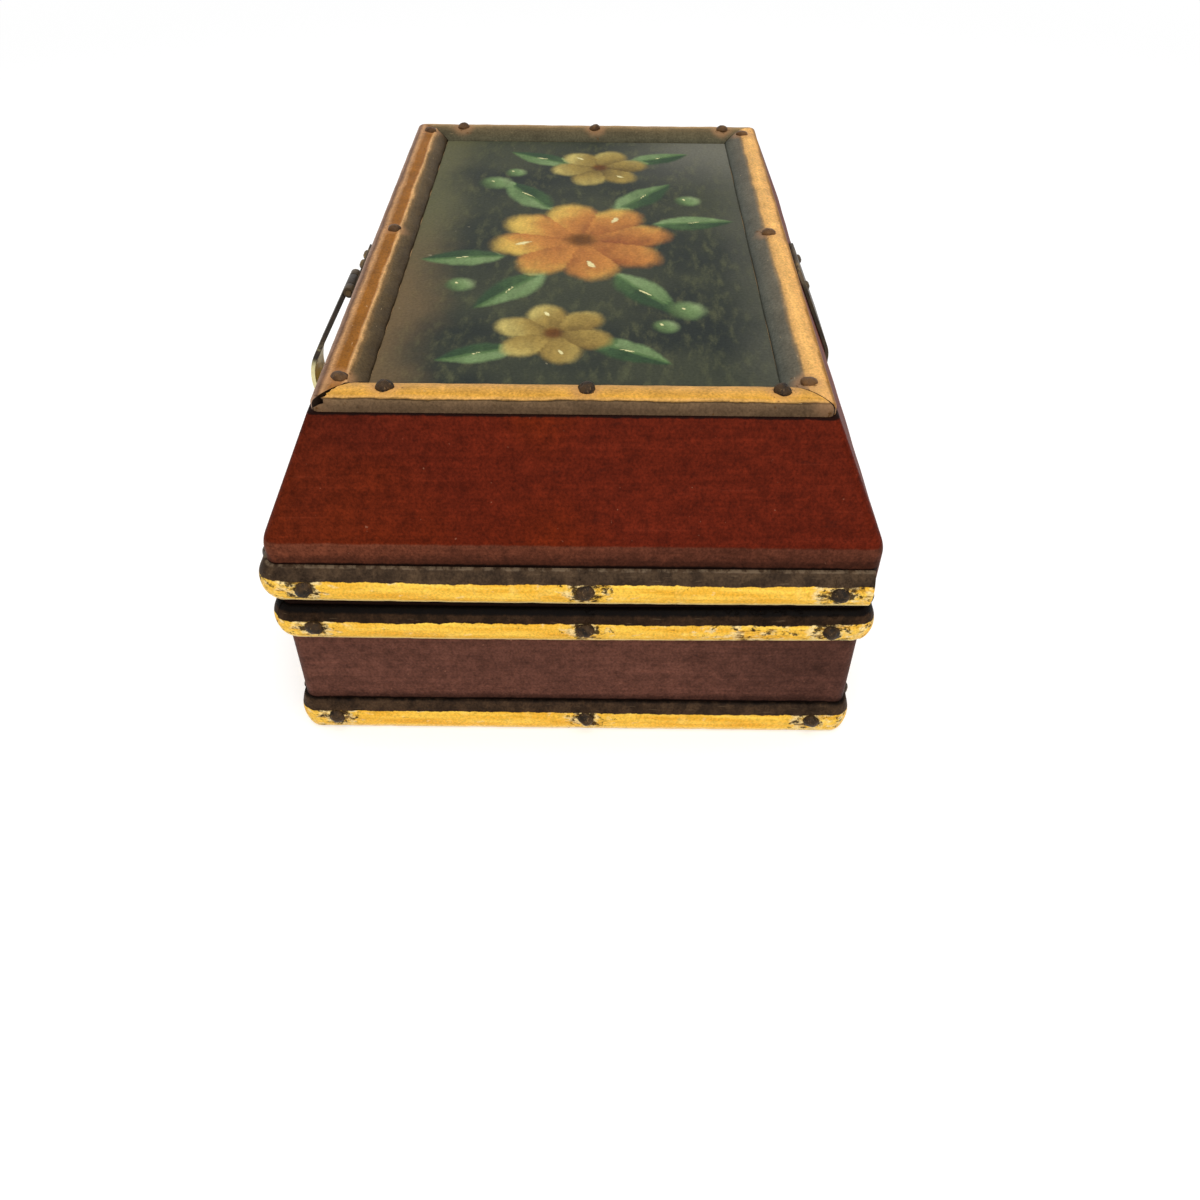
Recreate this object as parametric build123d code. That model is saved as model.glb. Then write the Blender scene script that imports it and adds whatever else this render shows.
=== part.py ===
from build123d import *
import math
import os

# Keepsake box with a hipped lid, built from mitred boards.
# Gilt half-round strips are nailed round the edges, a strap hinge carries the lid at the
# back, and a bowed hasp hangs over a staple at the front.
# Millimetres. X runs along the length, the front faces -Y, Z is up.
# The origin is the middle of the resting face.

os.makedirs("parts", exist_ok=True)

# Overall box
LENGTH = 217.0
WIDTH = 150.0
BASE_INSET = 0.8
BOARD = 9.0
FLOOR_BOARD = 6.0
BASE_TOP = 47.5
LID_SEAM = 0.3
BAND_HEIGHT = 18.2
SLOPE_RISE = 28.5
SLOPE_RUN = 13.5
TOP_BOARD = 6.0
PANEL_THICKNESS = 0.8
PANEL_CLEARANCE = 0.2
CORNER_RADIUS = 3.0
SHOULDER_RADIUS = 9.0
ARRIS_RADIUS = 1.0

# Half-round edge strips
STRIP_WIDTH = 11.0
STRIP_EDGE = 0.8
STRIP_CROWN = 3.0
FOOT_STRIP_CROWN = 2.0
FOOT_STRIP_Z = 0.3
RIM_STRIP_DROP = 1.0
LID_STRIP_RAISE = 1.2
LID_STRIP_BACK_STOP = 1.5

# Moulded strips round the top picture
FRAME_WIDTH = 11.5
FRAME_OUTER_EDGE = 2.4
FRAME_CROWN = 3.5
FRAME_CROWN_PLACE = 4.4
FRAME_INNER_EDGE = 0.8
FRAME_SETBACK = 0.6

# Domed tacks. Each strip has one near each end and one near its middle, set by eye.
# The last three sizes are shares of a head's height and radius
TACK_RADIUS = 2.5
TACK_DOME = 1.6
TACK_SINK = 0.5
TACK_SHANK = 1.2
TACK_SHANK_LENGTH = 6.0
TACK_SIDES = 12
TACK_FROM_LONG_END = 11.5
TACK_FROM_FRONT = 9.0
TACK_FROM_BACK = 9.5
TACK_OFF_MIDDLE = 3.0
TACK_FROM_HINGE = 8.0
FRAME_TACK_FROM_LONG_END = 9.9
FRAME_TACK_FROM_FRONT = 16.9
FRAME_TACK_FROM_BACK = 12.4
FRAME_TACK_PLACE = 5.6
DOME_SHOULDER = 0.55
DOME_SHOULDER_RADIUS = 0.82
DOME_TOP_RADIUS = 0.4

# Strap hinge at the back
HINGE_WIDTH = 26.0
HINGE_LEAF = 1.2
HINGE_KNUCKLE_RADIUS = 2.4
HINGE_STANDOFF = 0.4
HINGE_PIN_RADIUS = 1.0
HINGE_CENTRE_KNUCKLE = 8.8
HINGE_LEAF_DROP = 27.5
HINGE_LEAF_TOP_GAP = 4.5
HINGE_LEAF_CORNER = 4.0
HINGE_PIN_END = 0.6
HINGE_STRIP_GAP = 1.0
HINGE_WEB = 2.9

# Bowed hasp and its staple at the front: heights are measured from the seam of the lid
HASP_WIDTH = 13.0
HASP_THICKNESS = 1.4
HASP_LEAF = 1.0
HASP_LEAF_LENGTH = 12.3
HASP_LEAF_TOP_GAP = 4.0
HASP_PIVOT_STANDOFF = 2.0
HASP_KNUCKLE_RADIUS = 1.7
HASP_CENTRE_KNUCKLE = 6.0
HASP_PIN_RADIUS = 0.8
HASP_BOW_OUT = 14.2
HASP_BOW_ABOVE_SEAM = 2.4
HASP_BOW_RADIUS = 18.0
HASP_TAIL_OUT = 6.4
HASP_TAIL_BEND_BELOW_SEAM = 11.2
HASP_TAIL_BEND_RADIUS = 5.0
HASP_TAIL_PAST_STAPLE = 7.2
HASP_SLOT_WIDTH = 5.0
HASP_SLOT_HEIGHT = 10.8
STAPLE_BELOW_SEAM = 21.4
STAPLE_PLATE_WIDTH = 22.0
STAPLE_PLATE_HEIGHT = 13.0
STAPLE_PLATE = 1.2
STAPLE_LUG_THICKNESS = 2.6
STAPLE_LUG_HEIGHT = 7.0
STAPLE_TIP_GAP = 0.4
STAPLE_NOSE_RADIUS = 2.8
STAPLE_HOLE_RADIUS = 1.1
STAPLE_PIN_SPACING = 17.2

# Small round-headed pins in the metalwork
PIN_RADIUS = 1.6
PIN_DOME = 0.8
PIN_SINK = 0.2
PIN_SHANK = 0.9
PIN_SHANK_LENGTH = 5.0
PIN_SIDES = 8

# Fits
PIVOT_CLEARANCE = 0.05
MOVING_GAP = 0.3

# Levels and half sizes worked out from the sizes above
half_length = LENGTH / 2
half_width = WIDTH / 2
base_half_length = half_length - BASE_INSET
base_half_width = half_width - BASE_INSET
lid_bottom = BASE_TOP + LID_SEAM
shoulder_z = lid_bottom + BAND_HEIGHT
lid_top = shoulder_z + SLOPE_RISE
slope_length = math.hypot(SLOPE_RUN, SLOPE_RISE)
slope_lean = math.atan2(SLOPE_RUN, SLOPE_RISE)
top_half_length = half_length - SLOPE_RUN
top_half_width = half_width - SLOPE_RUN
rim_strip_z = BASE_TOP - RIM_STRIP_DROP - STRIP_WIDTH
lid_strip_z = lid_bottom + LID_STRIP_RAISE
frame_half_length = top_half_length - FRAME_SETBACK
frame_half_width = top_half_width - FRAME_SETBACK

parts = {}

# The four sides: quarter turns about Z that carry a front piece round the box
SIDES = {"front": 0, "right": 90, "back": 180, "left": 270}


def side_halves(side, along_x, along_y):
    """Half length along a side, and distance of that side from the middle."""
    if side in ("front", "back"):
        return along_x, along_y
    return along_y, along_x


def mitre_wedge(side, along_x, along_y):
    """Upright block that keeps one side of a rectangle, cut at 45 degrees at its corners."""
    run, out = side_halves(side, along_x, along_y)
    past = 4 * CORNER_RADIUS
    depth = min(run, out) / 2
    outline = Polyline(
        (-run - past, -out - past),
        (run + past, -out - past),
        (run - depth, -out + depth),
        (-run + depth, -out + depth),
        close=True,
    )
    block = extrude(make_face(outline), lid_top + past)
    return Rot(0, 0, SIDES[side]) * block


def solids_of(shapes):
    """Every separate solid in a list of shapes."""
    return [solid for shape in shapes for solid in shape.solids()]


# Base boards: four mitred walls round a flush floor board
wall_column = extrude(
    RectangleRounded(2 * base_half_length, 2 * base_half_width, CORNER_RADIUS), BASE_TOP
)
floor_length = 2 * (base_half_length - BOARD)
floor_width = 2 * (base_half_width - BOARD)
base_well = extrude(Rectangle(floor_length, floor_width), BASE_TOP)
base_ring = wall_column - base_well
parts["base_floor"] = [extrude(Rectangle(floor_length, floor_width), FLOOR_BOARD)]
for side in SIDES:
    wedge = mitre_wedge(side, base_half_length, base_half_width)
    parts[f"base_{side}_wall"] = [base_ring & wedge]


# Lid boards: upright rails and leaning boards, mitred at the hips, round a let-in top
def lid_outline(half, inset, shoulder_radius, arris_radius):
    """Cross-section of the lid: upright band, then a slope to the flat top."""
    wide = half - inset
    narrow = half - inset - SLOPE_RUN
    outline = Polyline(
        (-wide, lid_bottom),
        (-wide, shoulder_z),
        (-narrow, lid_top),
        (narrow, lid_top),
        (wide, shoulder_z),
        (wide, lid_bottom),
        close=True,
    )
    face = make_face(outline)
    if shoulder_radius:
        shoulders = [v for v in face.vertices() if abs(v.Y - shoulder_z) < 0.01]
        face = fillet(shoulders, shoulder_radius)
    if arris_radius:
        arrises = [v for v in face.vertices() if abs(v.Y - lid_top) < 0.01]
        face = fillet(arrises, arris_radius)
    return face


def hipped_block(inset, shoulder_radius, arris_radius):
    """Solid common to the lid's cross-sections along and across the box."""
    across = lid_outline(half_width, inset, shoulder_radius, arris_radius)
    along = lid_outline(half_length, inset, shoulder_radius, arris_radius)
    lengthways = extrude(Plane.YZ * across, half_length, both=True)
    crossways = extrude(Plane.XZ * along, half_width, both=True)
    return lengthways & crossways


def slab(low, high):
    """Flat block over the whole box between two heights."""
    return Pos(0, 0, low) * extrude(Rectangle(2 * LENGTH, 2 * WIDTH), high - low)


lid_column = Pos(0, 0, lid_bottom) * extrude(
    RectangleRounded(LENGTH, WIDTH, CORNER_RADIUS), BAND_HEIGHT + SLOPE_RISE
)
lid_block = hipped_block(0, SHOULDER_RADIUS, ARRIS_RADIUS) & lid_column
lid_core = hipped_block(BOARD, 0, 0)
lid_shell = lid_block - lid_core
parts["lid_top_board"] = [lid_core & slab(lid_top - TOP_BOARD, lid_top)]
for side in SIDES:
    wedge = mitre_wedge(side, half_length, half_width)
    parts[f"lid_{side}_rail"] = [lid_shell & wedge & slab(lid_bottom, shoulder_z)]
    parts[f"lid_{side}_slope"] = [lid_shell & wedge & slab(shoulder_z, lid_top)]


# Edge strips: half-round section bent round the corners, mitred in the middle of each bend
def strip_section(crown):
    """Half-round section, flat back on the wall, thin edges: x is outward, y is up."""
    edge_low = (STRIP_EDGE, 0)
    edge_high = (STRIP_EDGE, STRIP_WIDTH)
    outline = [
        Line((0, 0), edge_low),
        ThreePointArc(edge_low, (crown, STRIP_WIDTH / 2), edge_high),
        Line(edge_high, (0, STRIP_WIDTH)),
        Line((0, STRIP_WIDTH), (0, 0)),
    ]
    return make_face(outline)


def edge_strip(side, along_x, along_y, low, crown, stops=(None, None)):
    """One strip on a side, from the middle of one corner bend to the middle of the next.

    A stop, where given, is a place along the side at which the strip ends square instead.
    """
    run, out = side_halves(side, along_x, along_y)
    bend = CORNER_RADIUS
    half_bend = bend * math.sin(math.radians(45))
    eighth = bend * math.sin(math.radians(22.5))
    eighth_in = bend * (1 - math.cos(math.radians(22.5)))
    straight = run - bend
    route = []
    right_end = straight
    left_end = -straight
    if stops[1] is not None:
        right_end = stops[1]
    if stops[0] is not None:
        left_end = stops[0]
    if stops[1] is None:
        route.append(
            ThreePointArc(
                (straight + half_bend, -out + bend - half_bend, low),
                (straight + eighth, -out + eighth_in, low),
                (straight, -out, low),
            )
        )
    route.append(Line((right_end, -out, low), (left_end, -out, low)))
    if stops[0] is None:
        route.append(
            ThreePointArc(
                (-straight, -out, low),
                (-straight - eighth, -out + eighth_in, low),
                (-straight - half_bend, -out + bend - half_bend, low),
            )
        )
    path = Wire(route)
    along = path % 0
    outward = Vector(0, 0, 1).cross(along)
    start = Plane(origin=path @ 0, x_dir=outward, z_dir=along)
    strip = sweep(start * strip_section(crown), path=path)
    return Rot(0, 0, SIDES[side]) * strip


hinge_stop = HINGE_WIDTH / 2 + HINGE_STRIP_GAP
for side in SIDES:
    base_halves = (base_half_length, base_half_width)
    parts[f"foot_strip_{side}"] = [
        edge_strip(side, *base_halves, FOOT_STRIP_Z, FOOT_STRIP_CROWN)
    ]
    if side == "back":
        parts["rim_strip_back"] = [
            edge_strip(side, *base_halves, rim_strip_z, STRIP_CROWN, (hinge_stop, None)),
            edge_strip(side, *base_halves, rim_strip_z, STRIP_CROWN, (None, -hinge_stop)),
        ]
    else:
        parts[f"rim_strip_{side}"] = [
            edge_strip(side, *base_halves, rim_strip_z, STRIP_CROWN)
        ]

back_stop = half_width - LID_STRIP_BACK_STOP
lid_halves = (half_length, half_width)
parts["lid_strip_front"] = [edge_strip("front", *lid_halves, lid_strip_z, STRIP_CROWN)]
parts["lid_strip_right"] = [
    edge_strip("right", *lid_halves, lid_strip_z, STRIP_CROWN, (None, back_stop))
]
parts["lid_strip_left"] = [
    edge_strip("left", *lid_halves, lid_strip_z, STRIP_CROWN, (-back_stop, None))
]


# Top frame: four mitred strips, thick at the outer edge and thin where they meet the picture
def frame_strip(side):
    """One strip of the top frame, mitred at both ends."""
    run, out = side_halves(side, frame_half_length, frame_half_width)
    outer = -out
    inner = -out + FRAME_WIDTH
    outline = [
        Line((outer, 0), (outer, FRAME_OUTER_EDGE)),
        ThreePointArc(
            (outer, FRAME_OUTER_EDGE),
            (outer + FRAME_CROWN_PLACE, FRAME_CROWN),
            (inner, FRAME_INNER_EDGE),
        ),
        Line((inner, FRAME_INNER_EDGE), (inner, 0)),
        Line((inner, 0), (outer, 0)),
    ]
    bar = extrude(Plane.YZ * make_face(outline), run, both=True)
    placed = Rot(0, 0, SIDES[side]) * Pos(0, 0, lid_top) * bar
    return placed & mitre_wedge(side, frame_half_length, frame_half_width)


for side in SIDES:
    parts[f"frame_strip_{side}"] = [frame_strip(side)]

panel_length = 2 * (frame_half_length - FRAME_WIDTH - PANEL_CLEARANCE)
panel_width = 2 * (frame_half_width - FRAME_WIDTH - PANEL_CLEARANCE)
parts["picture_panel"] = [
    Pos(0, 0, lid_top) * extrude(Rectangle(panel_length, panel_width), PANEL_THICKNESS)
]


# Tacks and pins: a hammered, many-sided dome on a square shank
def tapered_prism(low_radius, high_radius, height, sides):
    """Many-sided block that narrows upward from one radius to the next."""
    to_flat = math.cos(math.pi / sides)
    lean = math.degrees(math.atan2((low_radius - high_radius) * to_flat, height))
    return extrude(RegularPolygon(low_radius, sides), height, taper=lean)


def domed_nail(radius, dome, sink, shank, shank_length, sides):
    """Nail standing along +Z: the head's underside is sunk below the origin."""
    shoulder = dome * DOME_SHOULDER
    shoulder_radius = radius * DOME_SHOULDER_RADIUS
    skirt = tapered_prism(radius, shoulder_radius, sink + shoulder, sides)
    crown = tapered_prism(shoulder_radius, radius * DOME_TOP_RADIUS, dome - shoulder, sides)
    spike = Pos(0, 0, -sink - shank_length) * extrude(Rectangle(shank, shank), shank_length)
    return Pos(0, 0, -sink) * skirt + Pos(0, 0, shoulder) * crown + spike


def on_side(side, along, out, height):
    """Plane on an upright side, looking outward."""
    turn = Rot(0, 0, SIDES[side])
    seat = Plane(origin=(along, -out, height), x_dir=(1, 0, 0), z_dir=(0, -1, 0))
    return turn * seat.location


tack = domed_nail(
    TACK_RADIUS, TACK_DOME, TACK_SINK, TACK_SHANK, TACK_SHANK_LENGTH, TACK_SIDES
)


# A flat pressed into the crown of the strip under each tack's head
tack_flat = Pos(0, 0, TACK_DOME / 2 - TACK_SINK / 2) * Box(
    2 * TACK_RADIUS, 2 * STRIP_WIDTH, TACK_DOME + TACK_SINK
)


def strip_seats(side, along_x, along_y, low, crown, places):
    """Tack locations along the crown of one edge strip."""
    out = side_halves(side, along_x, along_y)[1]
    height = low + STRIP_WIDTH / 2
    return [on_side(side, place, out + crown, height) for place in places]


def frame_seats(side, places):
    """Tack locations along one strip of the top frame."""
    out = side_halves(side, frame_half_length, frame_half_width)[1]
    height = lid_top + FRAME_CROWN
    turn = Rot(0, 0, SIDES[side])
    return [turn * Pos(place, -out + FRAME_TACK_PLACE, height) for place in places]


def end_places(side, half, from_front, from_back):
    """Tack places along an end strip, whose local axis runs front to back on the right."""
    places = [-half + from_front, TACK_OFF_MIDDLE, half - from_back]
    if side == "left":
        return [-place for place in places]
    return places


def drive(nails, *names):
    """Cut the holes that a set of nails makes in the named pieces."""
    for name in names:
        parts[name] = [piece - nails for piece in parts[name]]


def tack_down(seats, strip_name, tacks_name, *boards):
    """Set a row of tacks: flats and holes in the strip, holes in the boards behind it."""
    tacks = [seat * tack for seat in seats]
    flats = [seat * tack_flat for seat in seats]
    parts.setdefault(tacks_name, []).extend(tacks)
    drive(flats, strip_name)
    drive(tacks, strip_name, *boards)


near_corner = half_length - TACK_FROM_LONG_END
near_hinge = hinge_stop + TACK_FROM_HINGE
frame_near_corner = frame_half_length - FRAME_TACK_FROM_LONG_END
for side in SIDES:
    places = [-near_corner, 0, near_corner]
    rim_places = places
    frame_places = [-frame_near_corner, 0, frame_near_corner]
    if side == "back":
        rim_places = [-near_corner, -near_hinge, near_hinge, near_corner]
    if side in ("right", "left"):
        places = end_places(side, half_width, TACK_FROM_FRONT, TACK_FROM_BACK)
        rim_places = places
        frame_places = end_places(
            side, frame_half_width, FRAME_TACK_FROM_FRONT, FRAME_TACK_FROM_BACK
        )
    base_halves = (base_half_length, base_half_width)
    foot_seats = strip_seats(side, *base_halves, FOOT_STRIP_Z, FOOT_STRIP_CROWN, places)
    tack_down(foot_seats, f"foot_strip_{side}", "foot_strip_tacks", f"base_{side}_wall")
    rim_seats = strip_seats(side, *base_halves, rim_strip_z, STRIP_CROWN, rim_places)
    tack_down(rim_seats, f"rim_strip_{side}", "rim_strip_tacks", f"base_{side}_wall")
    if side != "back":
        lid_seats = strip_seats(side, *lid_halves, lid_strip_z, STRIP_CROWN, places)
        tack_down(lid_seats, f"lid_strip_{side}", "lid_strip_tacks", f"lid_{side}_rail")
    top_seats = frame_seats(side, frame_places)
    tack_down(
        top_seats, f"frame_strip_{side}", "frame_tacks", f"lid_{side}_slope", "lid_top_board"
    )


# Helpers for the metalwork
def rod(radius, low_x, high_x, centre_y, centre_z):
    """Round bar along X."""
    disc = Plane.YZ * Pos(centre_y, centre_z) * Circle(radius)
    return Pos(low_x, 0, 0) * extrude(disc, high_x - low_x)


def centred_rod(radius, length, centre_y, centre_z):
    """Round bar along X about the middle of the box."""
    return rod(radius, -length / 2, length / 2, centre_y, centre_z)


def bent_plate(corners, radii, width, thickness):
    """Plate bent along X-parallel folds: corners are (y, z) points on its middle surface."""
    points = [(0, y, z) for y, z in corners]
    if len(points) == 2:
        path = Line(*points)
    else:
        path = FilletPolyline(*points, radius=radii)
    along = path % 0
    start = Plane(origin=path @ 0, x_dir=(1, 0, 0), z_dir=along)
    return sweep(start * Rectangle(width, thickness), path=path)


def rounded_face_view(width, low, high, corner, toward_y):
    """Block seen from the front or back as an upright plate with rounded corners."""
    middle = (low + high) / 2
    outline = Plane.XZ * Pos(0, middle) * RectangleRounded(width, high - low, corner)
    return Pos(0, toward_y, 0) * extrude(outline, half_width / 2, both=True)


pin = domed_nail(PIN_RADIUS, PIN_DOME, PIN_SINK, PIN_SHANK, PIN_SHANK_LENGTH, PIN_SIDES)

# Strap hinge: one leaf up the lid's back, one down the base, three knuckles on a pin
hinge_y = half_width + HINGE_STANDOFF + HINGE_KNUCKLE_RADIUS
hinge_z = BASE_TOP + LID_SEAM / 2
lid_leaf_middle = half_width + HINGE_LEAF / 2
fold_rise = HINGE_LEAF / 2 * math.tan(slope_lean / 2)
leaf_climb = slope_length - HINGE_LEAF_TOP_GAP
leaf_foot_z = BASE_TOP - HINGE_LEAF_DROP
leaf_top_y = lid_leaf_middle - leaf_climb * math.sin(slope_lean)
leaf_top_z = shoulder_z + fold_rise + leaf_climb * math.cos(slope_lean)
lid_leaf = bent_plate(
    [
        (lid_leaf_middle, hinge_z),
        (lid_leaf_middle, shoulder_z + fold_rise),
        (leaf_top_y, leaf_top_z),
    ],
    [SHOULDER_RADIUS + HINGE_LEAF / 2],
    HINGE_WIDTH,
    HINGE_LEAF,
)
lid_leaf = lid_leaf & rounded_face_view(
    HINGE_WIDTH, leaf_foot_z, leaf_top_z, HINGE_LEAF_CORNER, half_width
)
base_leaf_middle = base_half_width + HINGE_LEAF / 2
base_leaf = bent_plate(
    [(base_leaf_middle, hinge_z), (base_leaf_middle, leaf_foot_z)],
    [],
    HINGE_WIDTH,
    HINGE_LEAF,
)
base_leaf = base_leaf & rounded_face_view(
    HINGE_WIDTH, leaf_foot_z, leaf_top_z, HINGE_LEAF_CORNER, half_width
)


def knuckle_block(low_x, high_x, leaf_face_y):
    """Knuckle with the web that joins it to its leaf."""
    barrel = rod(HINGE_KNUCKLE_RADIUS, low_x, high_x, hinge_y, hinge_z)
    web_width = hinge_y - leaf_face_y
    web = Plane.YZ * Pos(leaf_face_y + web_width / 2, hinge_z) * Rectangle(
        web_width, HINGE_WEB
    )
    return barrel + Pos(low_x, 0, 0) * extrude(web, high_x - low_x)


centre_half = HINGE_CENTRE_KNUCKLE / 2
outer_low = centre_half + MOVING_GAP
hinge_half = HINGE_WIDTH / 2
sweep_radius = HINGE_KNUCKLE_RADIUS + MOVING_GAP
centre_notch = slab(hinge_z - sweep_radius, hinge_z + sweep_radius) & Box(
    2 * outer_low, 2 * WIDTH, 2 * LENGTH
)
outer_notches = slab(lid_bottom - MOVING_GAP, hinge_z + sweep_radius) - Box(
    2 * centre_half, 2 * WIDTH, 2 * LENGTH
)
above_seam = slab(lid_bottom, lid_top)
below_seam = slab(-STRIP_WIDTH, BASE_TOP)
pin_bore = centred_rod(HINGE_PIN_RADIUS + PIVOT_CLEARANCE, LENGTH, hinge_y, hinge_z)
lid_leaf = (lid_leaf & above_seam) - outer_notches
lid_leaf = lid_leaf + (knuckle_block(-centre_half, centre_half, half_width) & above_seam)
lid_leaf = lid_leaf + rod(
    HINGE_KNUCKLE_RADIUS, -centre_half, centre_half, hinge_y, hinge_z
)
lid_leaf = lid_leaf - pin_bore
base_leaf = (base_leaf & below_seam) - centre_notch
for low_x, high_x in ((outer_low, hinge_half), (-hinge_half, -outer_low)):
    base_leaf = base_leaf + (knuckle_block(low_x, high_x, base_half_width) & below_seam)
    base_leaf = base_leaf + rod(HINGE_KNUCKLE_RADIUS, low_x, high_x, hinge_y, hinge_z)
base_leaf = base_leaf - pin_bore

hinge_pin = centred_rod(
    HINGE_PIN_RADIUS, HINGE_WIDTH + 2 * HINGE_PIN_END, hinge_y, hinge_z
)

hinge_pin_x = HINGE_WIDTH / 2 - HINGE_LEAF_CORNER
lid_band_pin_z = lid_strip_z + STRIP_WIDTH / 2
slope_pin = leaf_climb - HINGE_LEAF_CORNER - PIN_RADIUS
slope_normal_y = math.cos(slope_lean)
slope_normal_z = math.sin(slope_lean)


def on_slope(side, along, up_slope, standoff):
    """Place on a leaning board: up_slope is measured from the shoulder's corner line."""
    run, out = side_halves(side, half_length, half_width)
    y = out - up_slope * math.sin(slope_lean) + standoff * slope_normal_y
    z = shoulder_z + up_slope * math.cos(slope_lean) + standoff * slope_normal_z
    seat = Plane(
        origin=(along, -y, z),
        x_dir=(1, 0, 0),
        z_dir=(0, -slope_normal_y, slope_normal_z),
    )
    return Rot(0, 0, SIDES[side]) * seat.location


lid_hinge_pins = []
base_hinge_pins = []
for x in (-hinge_pin_x, hinge_pin_x):
    lid_hinge_pins.append(
        on_side("back", x, half_width + HINGE_LEAF, lid_band_pin_z) * pin
    )
    lid_hinge_pins.append(on_slope("back", x, slope_pin, HINGE_LEAF) * pin)
    for z in (leaf_foot_z + HINGE_LEAF_CORNER, rim_strip_z + STRIP_CROWN):
        base_hinge_pins.append(
            on_side("back", x, base_half_width + HINGE_LEAF, z) * pin
        )

parts["hinge_lid_leaf"] = [lid_leaf]
parts["hinge_base_leaf"] = [base_leaf]
parts["hinge_pin"] = [hinge_pin]
parts["hinge_lid_pins"] = lid_hinge_pins
parts["hinge_base_pins"] = base_hinge_pins
drive(lid_hinge_pins, "hinge_lid_leaf", "lid_back_rail", "lid_back_slope")
drive(base_hinge_pins, "hinge_base_leaf", "base_back_wall")

# Hasp: a short leaf on the front slope, and a strap bowed out over the edge strips
hasp_leaf_top = slope_length - HASP_LEAF_TOP_GAP
pivot_climb = hasp_leaf_top - HASP_LEAF_LENGTH
pivot_location = on_slope("front", 0, pivot_climb, HASP_PIVOT_STANDOFF)
pivot_y = pivot_location.position.Y
pivot_z = pivot_location.position.Z
hasp_half = HASP_WIDTH / 2
hasp_centre_half = HASP_CENTRE_KNUCKLE / 2
hasp_outer_low = hasp_centre_half + MOVING_GAP
hasp_sweep_radius = HASP_KNUCKLE_RADIUS + MOVING_GAP
hasp_bore = centred_rod(
    HASP_PIN_RADIUS + PIVOT_CLEARANCE, 2 * HASP_WIDTH, pivot_y, pivot_z
)

rounding = 2 * PIN_RADIUS
leaf_straight = HASP_LEAF_LENGTH - rounding
leaf_outline = Pos(0, leaf_straight / 2) * Rectangle(HASP_WIDTH, leaf_straight)
leaf_outline = leaf_outline + Pos(0, leaf_straight) * RectangleRounded(
    HASP_WIDTH, 2 * rounding, rounding - MOVING_GAP
)
hasp_leaf = on_slope("front", 0, pivot_climb, 0) * extrude(leaf_outline, HASP_LEAF)
for low_x, high_x in ((hasp_outer_low, hasp_half), (-hasp_half, -hasp_outer_low)):
    barrel = rod(HASP_KNUCKLE_RADIUS, low_x, high_x, pivot_y, pivot_z)
    hasp_leaf = hasp_leaf + barrel
centre_clear = rod(
    hasp_sweep_radius, -hasp_outer_low, hasp_outer_low, pivot_y, pivot_z
)
hasp_leaf = hasp_leaf - centre_clear - hasp_bore

bow_corner_y = -(half_width + HASP_BOW_OUT)
bow_z = hinge_z + HASP_BOW_ABOVE_SEAM
tail_bend_z = hinge_z - HASP_TAIL_BEND_BELOW_SEAM
staple_z = hinge_z - STAPLE_BELOW_SEAM
tail_end_z = staple_z - HASP_TAIL_PAST_STAPLE
tail_y = -(base_half_width + HASP_TAIL_OUT)
reach = Vector(0, bow_corner_y - pivot_y, bow_z - pivot_z).normalized()
strap_offset = HASP_KNUCKLE_RADIUS - HASP_THICKNESS / 2
strap_start_y = pivot_y + reach.Z * strap_offset
strap_start_z = pivot_z - reach.Y * strap_offset
strap = bent_plate(
    [
        (strap_start_y, strap_start_z),
        (bow_corner_y, bow_z),
        (tail_y, tail_bend_z),
        (tail_y, tail_end_z),
    ],
    [HASP_BOW_RADIUS, HASP_TAIL_BEND_RADIUS],
    HASP_WIDTH,
    HASP_THICKNESS,
)
tail_corner = (HASP_WIDTH - HASP_SLOT_WIDTH) / 2
strap = strap & rounded_face_view(
    HASP_WIDTH, tail_end_z, lid_top + tail_corner, tail_corner, -half_width
)
for low_x, high_x in ((hasp_centre_half, HASP_WIDTH), (-HASP_WIDTH, -hasp_centre_half)):
    strap = strap - rod(hasp_sweep_radius, low_x, high_x, pivot_y, pivot_z)
strap = strap + rod(
    HASP_KNUCKLE_RADIUS, -hasp_centre_half, hasp_centre_half, pivot_y, pivot_z
)
strap = strap - hasp_bore
slot_face = Plane.XZ * Pos(0, staple_z) * RectangleRounded(
    HASP_SLOT_WIDTH, HASP_SLOT_HEIGHT, HASP_THICKNESS / 2
)
strap = strap - Pos(0, tail_y, 0) * extrude(slot_face, HASP_TAIL_OUT, both=True)

hasp_pin = centred_rod(HASP_PIN_RADIUS, HASP_WIDTH + HASP_PIN_RADIUS, pivot_y, pivot_z)

hasp_leaf_pins = []
for x in (-hasp_half / 2, hasp_half / 2):
    hasp_leaf_pins.append(
        on_slope("front", x, hasp_leaf_top - 2 * PIN_RADIUS, HASP_LEAF) * pin
    )

parts["hasp_strap"] = [strap]
parts["hasp_leaf"] = [hasp_leaf]
parts["hasp_pin"] = [hasp_pin]
parts["hasp_leaf_pins"] = hasp_leaf_pins
drive(hasp_leaf_pins, "hasp_leaf", "lid_front_slope")

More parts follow.
